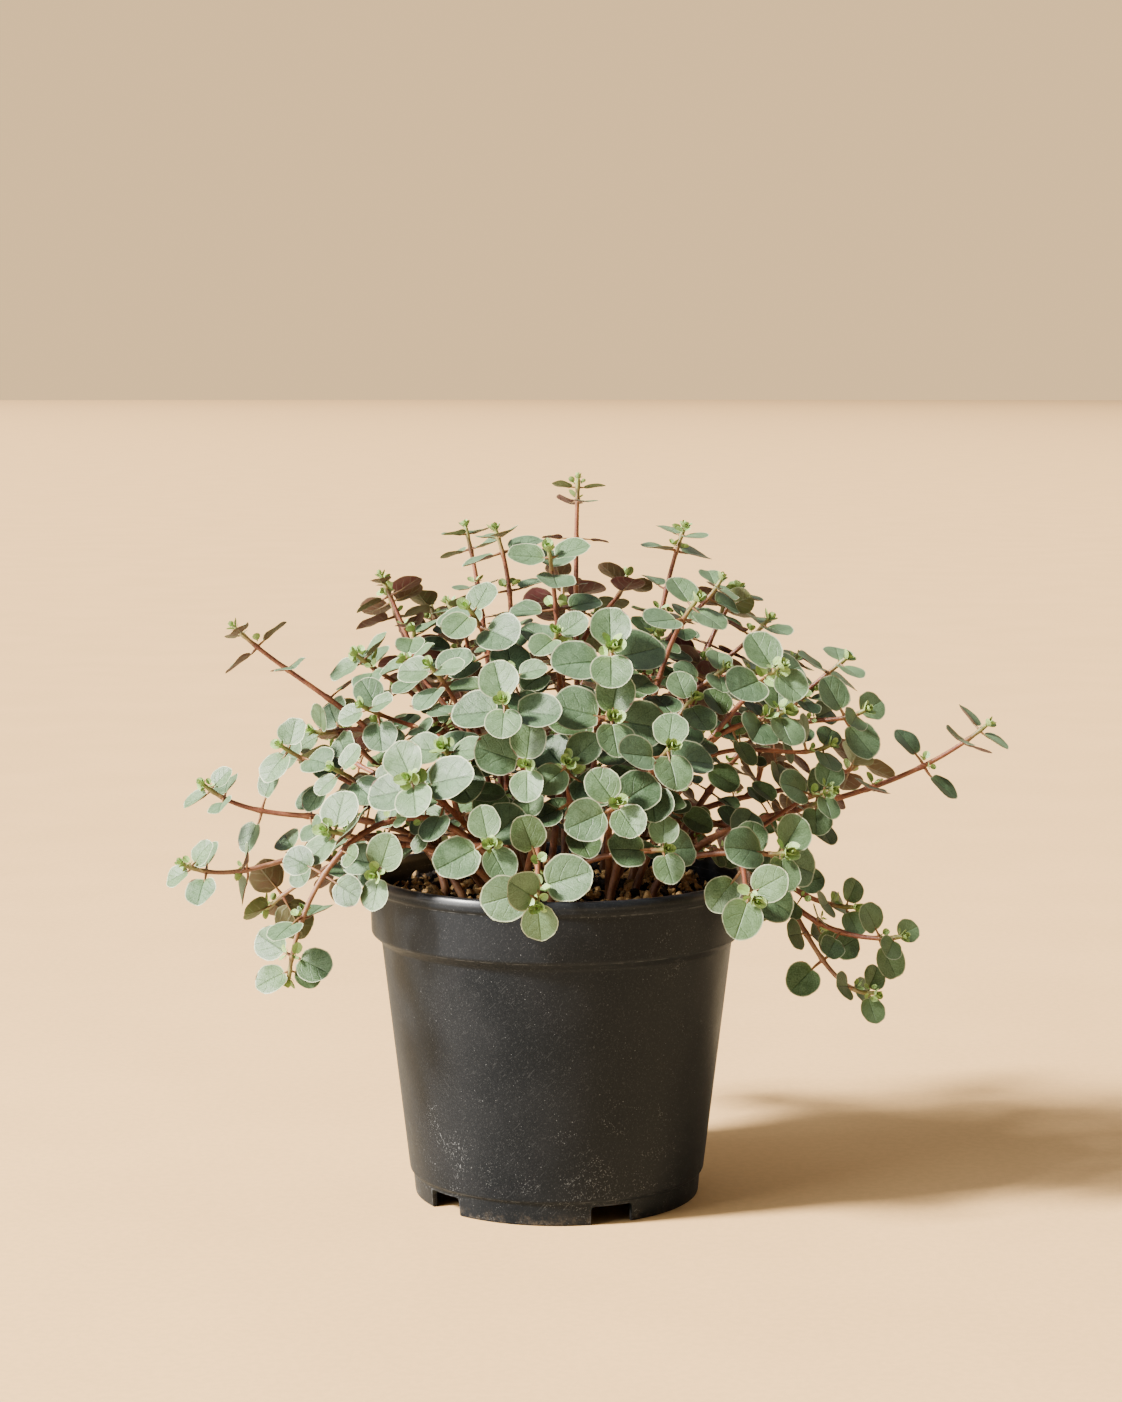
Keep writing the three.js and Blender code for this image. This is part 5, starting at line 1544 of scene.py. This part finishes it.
def leaf_material(settings):
    """The upper face: silvery grains over green, in patches, greener along the veins and near the
    base, with a thin pale margin. Fresh leaves are yellow-green. Each leaf's tone sets how silvery
    it is and brings in painted shade: covered leaves, and in part inner ones, are darker green."""
    material, wiring, shader = new_material("leaf top", Specular_IOR_Level=0.4)
    math_, mix = wiring.math, wiring.mix
    place = wiring.place()
    veins = wiring.group("blade veins", Width=0.05, Waver=wiring.noise(place, VEIN_WAVER))
    mottle = wiring.mottle(place, 420.0, 2700.0, 0.62)
    tone, fresh = wiring.attribute("tone"), wiring.attribute("fresh")
    bloom = math_("MULTIPLY_ADD", mottle, 0.6, -0.13)
    # tone holds the bloom, lowered as painted shade on covered leaves and partly on inner ones
    bloom = math_("MULTIPLY_ADD", tone, 0.6, bloom)
    bloom = math_("MULTIPLY_ADD", veins["Heart"], 0.14, bloom)
    midrib = math_("MULTIPLY", veins["Midrib"], 0.8)
    lines = math_("MAXIMUM", midrib, math_("MULTIPLY", veins["Veins"], 0.22))
    bloom = math_("SUBTRACT", bloom, math_("MULTIPLY", lines, 0.5), clamp=True)
    colour = mix(bloom, settings.green, settings.silver)
    green = math_("MULTIPLY_ADD", veins["Foot"], 0.12, fresh)
    green = math_("MULTIPLY", green, math_("MULTIPLY_ADD", mottle, 0.3, 0.7), clamp=True)
    colour = mix(green, colour, settings.fresh)
    colour = mix(math_("MULTIPLY", veins["Margin"], 0.9), colour, settings.margin)
    rough = math_("MULTIPLY_ADD", mottle, 0.16, 0.4)
    relief = math_("MULTIPLY_ADD", mottle, 0.3, veins["Height"])
    relief = math_("MULTIPLY_ADD", wiring.noise(place, 280.0, 1.0), 2.2, relief)
    normal = wiring.bump(relief, 0.16 * MM, 0.8)
    wiring.join(shader.inputs, Base_Color=colour, Roughness=rough, Normal=normal)
    return material


def underside_material(settings):
    """The underside: wine-red or olive by the leaf, with paler raised veins. Fresh leaves are
    green."""
    constants = {"Specular_IOR_Level": 0.35, "Roughness": 0.58}
    material, wiring, shader = new_material("leaf underside", **constants)
    math_, mix = wiring.math, wiring.mix
    place = wiring.place()
    veins = wiring.group("blade veins", Width=0.07, Waver=wiring.noise(place, VEIN_WAVER))
    mottle = wiring.mottle(place, 300.0, 3000.0, 0.4)
    tone, fresh = wiring.attribute("tone"), wiring.attribute("fresh")
    olive = math_("MULTIPLY_ADD", mottle, 0.35, wiring.ramp(tone, 0.7, 1.0))
    colour = mix(math_("SUBTRACT", olive, 0.2, clamp=True), settings.wine, settings.olive)
    colour = mix(math_("MULTIPLY", fresh, 0.9, clamp=True), colour, settings.fresh)
    lines = math_("MAXIMUM", veins["Midrib"], math_("MULTIPLY", veins["Veins"], 0.6))
    pale = mix(0.35, colour, settings.margin)
    colour = mix(math_("MULTIPLY", math_("MAXIMUM", lines, veins["Margin"]), 0.5), colour, pale)
    relief = math_("SUBTRACT", math_("MULTIPLY", mottle, 0.3), veins["Height"])
    wiring.join(shader.inputs, Base_Color=colour, Normal=wiring.bump(relief, 0.2 * MM, 0.7))
    return material


def stem_material(settings):
    """Stems: red-brown with darker lengthwise mottling, tan and woody near the soil, green where
    they are fresh."""
    material, wiring, shader = new_material("stem", Specular_IOR_Level=0.45, Roughness=0.46)
    math_ = wiring.math
    mottle = wiring.mottle(wiring.place(), 210.0, 2200.0, 0.35)
    fresh, tone = wiring.attribute("fresh"), wiring.attribute("tone")
    colour = wiring.mix(mottle, settings.shade, settings.bark)
    woody = math_("MULTIPLY", tone, math_("MULTIPLY_ADD", mottle, 0.7, 0.3), clamp=True)
    colour = wiring.mix(woody, colour, settings.wood)
    green = math_("MULTIPLY_ADD", mottle, 0.2, math_("SUBTRACT", fresh, 0.1), clamp=True)
    colour = wiring.mix(green, colour, settings.tip)
    wiring.join(shader.inputs, Base_Color=colour, Normal=wiring.bump(mottle, 0.12 * MM, 0.6))
    return material


def floor_material(settings):
    """A plain pale floor with a faint fine grain. The light that it throws back is more neutral, as
    from a paler floor, so that the plant keeps its greens."""
    material, wiring, shader = new_material("floor", Roughness=0.85, Specular_IOR_Level=0.25)
    shade = tuple(0.9 * value for value in settings.floor)
    mottle = wiring.mottle(wiring.place(), 14.0, 420.0, 0.5)
    colour = wiring.mix(mottle, shade, settings.floor)
    seen = wiring.node("ShaderNodeLightPath").outputs["Is Camera Ray"]
    wiring.join(shader.inputs, Base_Color=wiring.mix(seen, settings.bounce, colour))
    return material


# ---------------------------------------------------------------- operators


class PILEA_OT_pot(Operator):
    """Builds the nursery pot: turned wall, collar, bead and floor, cut by notches and drain holes"""

    bl_idname = "pilea.pot"
    bl_label = "Pot"

    def execute(self, context):
        settings = context.scene.pilea_pot
        edge = settings.edge / MM
        profile = [
            (0, 0), (HUB_RADIUS, 0), (HUB_RADIUS + HUB_SLOPE, FLOOR_Z),
            (FOOT_RADIUS - WALL, FLOOR_Z), (FOOT_RADIUS - WALL, 0),
            (FOOT_RADIUS, 0), (FOOT_TOP_RADIUS, FOOT_TOP_Z),
            (WALL_BOTTOM_RADIUS, WALL_BOTTOM_Z), (WALL_TOP_RADIUS, WALL_TOP_Z),
            (COLLAR_BOTTOM_RADIUS, COLLAR_BOTTOM_Z), (COLLAR_TOP_RADIUS, BEAD_BOTTOM_Z),
            (BEAD_RADIUS, BEAD_BOTTOM_Z + BEAD_SLOPE), (BEAD_RADIUS, BEAD_TOP_Z),
            (COLLAR_TOP_RADIUS, POT_HEIGHT), (INNER_RIM_RADIUS, POT_HEIGHT),
            (INNER_COLLAR_RADIUS, COLLAR_BOTTOM_Z + WALL),
            (INNER_WALL_TOP_RADIUS, WALL_TOP_Z + WALL),
            (INNER_FLOOR_RADIUS, INNER_FLOOR_Z), (HUB_RADIUS + HUB_SLOPE + WALL, INNER_FLOOR_Z),
            (HUB_RADIUS + WALL, WALL), (0, WALL),
        ]
        surface = Surface()
        points, faces = turned(rounded(profile, edge), settings.segments)
        surface.add(points, {0: faces})
        mesh = surface.mesh("nursery_pot")
        piece = new_piece("nursery_pot", mesh, [plastic_material(settings)], "pot", "pot")
        cutter = self.cutter()
        modifier = piece.modifiers.new("notches", "BOOLEAN")
        modifier.object = cutter
        modifier.solver = "EXACT"
        with context.temp_override(object=piece, active_object=piece):
            bpy.ops.object.modifier_apply(modifier="notches")
        bpy.data.objects.remove(cutter)
        piece.data.set_sharp_from_angle(angle=math.radians(40))
        return {"FINISHED"}

    @staticmethod
    def cutter():
        """The space of the foot's notches, with rounded tops, and of the drain holes."""
        half = NOTCH_WIDTH / 2
        corners = [
            (0, -CUT_PAST), (half, -CUT_PAST), (half, NOTCH_HEIGHT),
            (-half, NOTCH_HEIGHT), (-half, -CUT_PAST), (0, -CUT_PAST),
        ]
        across, height = rounded(corners, NOTCH_ROUNDING)[1:].T
        inside, outside = FOOT_RADIUS - 2.2 * WALL, FOOT_RADIUS + 1.6 * WALL
        angles = np.arange(DRAIN_SEGMENTS) * 2 * math.pi / DRAIN_SEGMENTS
        circle = DRAIN_RADIUS * np.stack([np.cos(angles), np.sin(angles), 0 * angles], 1)
        points, faces = [], []
        for i in range(NOTCH_COUNT):
            turn = NOTCH_FIRST_ANGLE + i * 360 / NOTCH_COUNT
            out, aside = level(turn), level(turn + 90)
            notch = across[:, None] * aside + height[:, None] * UP
            hole = circle + level(turn, DRAIN_CIRCLE)
            for low, high in (
                (notch + out * inside, notch + out * outside),
                (hole + UP * (FLOOR_Z - DRAIN_PAST), hole + UP * (INNER_FLOOR_Z + DRAIN_PAST)),
            ):
                more, more_faces = closed_tube(low, high, sum(map(len, points)))
                points.append(more)
                faces += more_faces
        mesh = bpy.data.meshes.new("notch cutter")
        mesh.from_pydata(np.concatenate(points) * MM, [], faces)
        return add_object("notch cutter", mesh)


def lattice_noise(x, y, cell, seed):
    """Smooth noise from 0 to 1: drawn values at the corners of square cells, eased between them."""
    values = np.random.default_rng(seed).random((128, 128))
    u, v = x / cell + 64, y / cell + 64
    i, j = np.floor(u).astype(int) % 127, np.floor(v).astype(int) % 127
    s, t = u - np.floor(u), v - np.floor(v)
    s, t = s * s * (3 - 2 * s), t * t * (3 - 2 * t)
    low = values[i, j] * (1 - s) + values[i + 1, j] * s
    high = values[i, j + 1] * (1 - s) + values[i + 1, j + 1] * s
    return low * (1 - t) + high * t


SOIL_RINGS = 56
SOIL_SEGMENTS = 180
SOIL_LUMPS = [(1.5, 5.5, 1), (1.1, 2.3, 2), (0.6, 1.1, 3)]  # height, cell and seed of each noise
SOIL_SINK = 1.6  # how far the soil's edge runs into the wall
SOIL_GAP = 0.2  # between the soil and the pot's floor


def rough_height(x, y):
    """Height of the soil's rough top: the soil's own height plus noise at three scales."""
    rough = sum(size * (lattice_noise(x, y, cell, seed) - 0.5) for size, cell, seed in SOIL_LUMPS)
    return soil_height(x, y) + rough


class PILEA_OT_soil(Operator):
    """Builds the potting mix: it fills the pot under a rough top"""

    bl_idname = "pilea.soil"
    bl_label = "Potting mix"

    def execute(self, context):
        settings = context.scene.pilea_soil
        share = min((SOIL_EDGE_Z - INNER_FLOOR_Z) / (WALL_TOP_Z + WALL - INNER_FLOOR_Z), 1)
        wider = INNER_WALL_TOP_RADIUS - INNER_FLOOR_RADIUS
        edge = INNER_FLOOR_RADIUS + wider * share + SOIL_SINK
        low = INNER_FLOOR_Z + SOIL_GAP
        below = [
            (0, WALL + SOIL_GAP), (HUB_RADIUS, WALL + SOIL_GAP), (HUB_RADIUS + HUB_SLOPE, low),
            (INNER_FLOOR_RADIUS - 0.3, low), (INNER_WALL_TOP_RADIUS - 0.2, WALL_TOP_Z),
        ]
        top = edge * np.sqrt(np.linspace(1, 0, SOIL_RINGS))
        heights = np.full(SOIL_RINGS, SOIL_EDGE_Z)
        profile = np.concatenate([np.array(below), np.stack([top, heights], 1)])
        points, faces = turned(profile, SOIL_SEGMENTS)
        on_top = points[:, 2] >= SOIL_EDGE_Z - 0.01
        points[on_top, 2] = rough_height(points[on_top, 0], points[on_top, 1])
        surface = Surface()
        surface.add(points, {0: faces}, tone=0.25)
        material = soil_material("potting mix", settings.dark, settings.brown, 0.35)
        new_piece("potting_mix", surface.mesh("potting_mix"), [material], "soil", "soil")
        return {"FINISHED"}


def scattered(name, count, mean, spread, stretch, seed, reach, sunk):
    """Many small angular bits on the soil, as one mesh. Each is a ball of 80 faces whose points are
    moved in and out by drawn amounts, then stretched, turned and set down on the rough soil."""
    draw = np.random.default_rng(seed)
    build = bmesh.new()
    bmesh.ops.create_icosphere(build, subdivisions=2, radius=1)
    mesh = bpy.data.meshes.new("ball")
    build.to_mesh(mesh)
    build.free()
    ball, faces = np.zeros(3 * len(mesh.vertices)), np.zeros(len(mesh.loops), int)
    mesh.vertices.foreach_get("co", ball)
    mesh.loops.foreach_get("vertex_index", faces)
    bpy.data.meshes.remove(mesh)
    ball, faces = ball.reshape(-1, 3), faces.reshape(-1, 3)
    angle = draw.uniform(0, 2 * math.pi, count)
    distance = reach * np.sqrt(draw.uniform(0, 1, count))
    size = mean * np.exp(draw.normal(0, spread, count))
    shape = draw.uniform([0.8, 0.65, 0.5], [stretch, 1.05, 0.85], (count, 3))
    rough = draw.uniform(0.72, 1.2, (count, len(ball), 1))
    points = ball * rough * shape[:, None] * size[:, None, None]
    spin = draw.normal(size=(count, 4))
    w, x, y, z = unit(spin).T
    rows = [
        [1 - 2 * (y * y + z * z), 2 * (x * y - w * z), 2 * (x * z + w * y)],
        [2 * (x * y + w * z), 1 - 2 * (x * x + z * z), 2 * (y * z - w * x)],
        [2 * (x * z - w * y), 2 * (y * z + w * x), 1 - 2 * (x * x + y * y)],
    ]
    points = np.einsum("abn,nkb->nka", np.array(rows), points)
    place = np.stack([distance * np.cos(angle), distance * np.sin(angle)], 1)
    height = rough_height(place[:, 0], place[:, 1]) + size * sunk
    points = points + np.concatenate([place, height[:, None]], 1)[:, None]
    surface = Surface()
    tone = np.repeat(draw.uniform(0, 1, count), len(ball))
    faces = copies(faces, count, len(ball))
    surface.add(points.reshape(-1, 3), {0: faces}, tone=tone, crease=OUTLINE)
    return surface.mesh(name)


class PILEA_OT_grit(Operator):
    """Builds the dark crumbs and the tan bits of bark and pumice that lie on the soil"""

    bl_idname = "pilea.grit"
    bl_label = "Crumbs and bits"

    def execute(self, context):
        settings = context.scene.pilea_soil
        reach = INNER_WALL_TOP_RADIUS - 0.8
        dark = soil_material("dark crumbs", settings.dark, settings.brown, 0.62)
        size = settings.crumb_size / MM
        mesh = scattered("soil_crumbs", settings.crumbs, size, 0.38, 1.3, 5, reach, 0.25)
        new_piece("soil_crumbs", mesh, [dark], "soil")
        tan = soil_material("tan bits", settings.brown, settings.tan, 0.82)
        size = settings.bit_size / MM
        mesh = scattered("soil_bits", settings.bits, size, 0.42, 2.1, 6, reach, 0.35)
        new_piece("soil_bits", mesh, [tan], "soil")
        return {"FINISHED"}


class PILEA_OT_stems(Operator):
    """Grows the leafy stems, each as one piece of its shoots, leafstalks, blades and buds"""

    bl_idname = "pilea.stems"
    bl_label = "Leafy stems"

    def execute(self, context):
        leaf_settings, stem_settings = context.scene.pilea_leaf, context.scene.pilea_stem
        shoots, grown = grow_leaves(grow_shoots())
        small = bud_leaves(shoots) + axil_leaves(grown)
        materials = [leaf_material(leaf_settings), underside_material(leaf_settings)]
        materials.append(stem_material(stem_settings))
        for index in range(max(path.stem for path in shoots) + 1):
            name = f"stem_{index + 1:02d}"
            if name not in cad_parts:
                raise RuntimeError(f"the model has no node {name}")
            own_shoots = [path for path in shoots if path.stem == index]
            own_leaves = [leaf for leaf in grown if leaf.stem == index]
            own_small = [leaf for leaf in small if leaf.stem == index]
            large = [leaf for leaf in own_leaves if leaf.size > SMALL_BLADE]
            tiny = [leaf for leaf in own_leaves + own_small if leaf.size <= SMALL_BLADE]
            surface = Surface()
            add_blades(surface, large, BLADE_STEPS, leaf_settings)
            add_blades(surface, tiny, SMALL_BLADE_STEPS, leaf_settings)
            add_stalks(surface, large, STALK_SIDES, leaf_settings)
            add_stalks(surface, tiny, SMALL_STALK_SIDES, leaf_settings)
            add_shoots(surface, own_shoots, own_leaves, stem_settings)
            new_piece(f"leafy_{name}", surface.mesh(f"leafy_{name}"), materials, "leaf", name)
        return {"FINISHED"}


FLOOR_RADIUS = 30.0
FLOOR_SEGMENTS = 96
WALL_TO_SKY = (0.14, 0.55)  # upward parts of the directions where the wall's light ends
BEHIND_TO_FRONT = (-0.7, 0.3)  # forward parts, from behind the camera to before it
CAMERA_PLACE = (0.0012, -0.832, 0.2286)
SUN_WAY = (-0.72, -0.27, 0.64)  # towards the main light
WINDOW_PLACE = (-0.72, -0.34, 0.27)
WINDOW_SIZE = 0.6
WINDOW_AIM = (0.0, 0.0, 0.08)


class PILEA_OT_stage(Operator):
    """Sets the stage: a plain pale floor, a soft main light, light all round, and the camera"""

    bl_idname = "pilea.stage"
    bl_label = "Stage"

    def execute(self, context):
        settings = context.scene.pilea_stage
        rim = FLOOR_RADIUS / MM
        points, faces = turned(np.array([[0, 0], [rim, 0], [rim, -1], [0, -1]]), FLOOR_SEGMENTS)
        surface = Surface()
        surface.add(points, {0: [some[:, ::-1] for some in faces]})
        floor = add_object("floor", surface.mesh("floor"))
        floor.data.materials.append(floor_material(settings))
        floor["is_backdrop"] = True

        lamp = bpy.data.lights.new("sun", "SUN")
        lamp.color = settings.sun
        lamp.energy = settings.sun_strength
        lamp.angle = settings.sun_spread
        turn = Vector(SUN_WAY).to_track_quat("Z", "Y").to_euler()
        add_object("sun", lamp).rotation_euler = turn

        window = bpy.data.lights.new("window", "AREA")
        window.size = WINDOW_SIZE
        window.energy = settings.window_power
        soft = add_object("window", window)
        soft.location = WINDOW_PLACE
        way = Vector(WINDOW_PLACE) - Vector(WINDOW_AIM)
        soft.rotation_euler = way.to_track_quat("Z", "Y").to_euler()

        world = bpy.data.worlds.new("studio")
        world.use_nodes = True
        background = world.node_tree.nodes["Background"]
        wiring = Wiring(world.node_tree)
        way = wiring.node("ShaderNodeTexCoord").outputs["Generated"]
        split = wiring.node("ShaderNodeSeparateXYZ", {0: way}).outputs
        low = [settings.wall_strength * value for value in settings.wall]
        high = [settings.sky_strength * value for value in settings.sky]
        light = wiring.mix(wiring.ramp(split["Z"], *WALL_TO_SKY), low, high)
        near = wiring.ramp(split["Y"], *BEHIND_TO_FRONT, settings.near_share, 1.0)
        wiring.join(background.inputs, Strength=near, Color=light)
        context.scene.world = world

        camera = add_object("camera", bpy.data.cameras.new("camera"))
        camera.data.lens = settings.lens
        camera.location = CAMERA_PLACE
        camera.rotation_euler = (math.pi / 2 - settings.pitch, 0, 0)
        context.scene.camera = camera
        return {"FINISHED"}


class PILEA_PT_panel(Panel):
    """Lists the settings and the operators"""

    bl_idname = "PILEA_PT_panel"
    bl_label = "Potted pilea"
    bl_space_type = "VIEW_3D"
    bl_region_type = "UI"
    bl_category = "Pilea"

    def draw(self, context):
        for key, operators in PANEL_ROWS.items():
            settings = getattr(context.scene, key)
            box = self.layout.box()
            for name in settings.bl_rna.properties.keys():
                if name not in ("rna_type", "name"):
                    box.prop(settings, name)
            for operator in operators:
                box.operator(operator.bl_idname)


PANEL_ROWS = {
    "pilea_pot": [PILEA_OT_pot],
    "pilea_soil": [PILEA_OT_soil, PILEA_OT_grit],
    "pilea_leaf": [],
    "pilea_stem": [PILEA_OT_stems],
    "pilea_stage": [PILEA_OT_stage],
}
SETTINGS = {
    "pilea_pot": PileaPotSettings,
    "pilea_soil": PileaSoilSettings,
    "pilea_leaf": PileaLeafSettings,
    "pilea_stem": PileaStemSettings,
    "pilea_stage": PileaStageSettings,
}
CLASSES = [
    *SETTINGS.values(), PILEA_OT_pot, PILEA_OT_soil, PILEA_OT_grit, PILEA_OT_stems, PILEA_OT_stage,
    PILEA_PT_panel,
]


def register():
    """Registers the classes and hangs the settings on the scene."""
    for some_class in CLASSES:
        bpy.utils.register_class(some_class)
    for key, group in SETTINGS.items():
        setattr(bpy.types.Scene, key, PointerProperty(type=group))


def unregister():
    """Takes the settings and the classes away again."""
    for key in SETTINGS:
        delattr(bpy.types.Scene, key)
    for some_class in reversed(CLASSES):
        bpy.utils.unregister_class(some_class)


def main():
    """Builds everything."""
    register()
    bpy.ops.pilea.stage()
    bpy.ops.pilea.pot()
    bpy.ops.pilea.soil()
    bpy.ops.pilea.grit()
    bpy.ops.pilea.stems()
    boxes = {"cad": CAD_BOX, "visual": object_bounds()}
    {key: [list(corner) for corner in box] for key, box in boxes.items()}


if __name__ == "__main__":
    main()
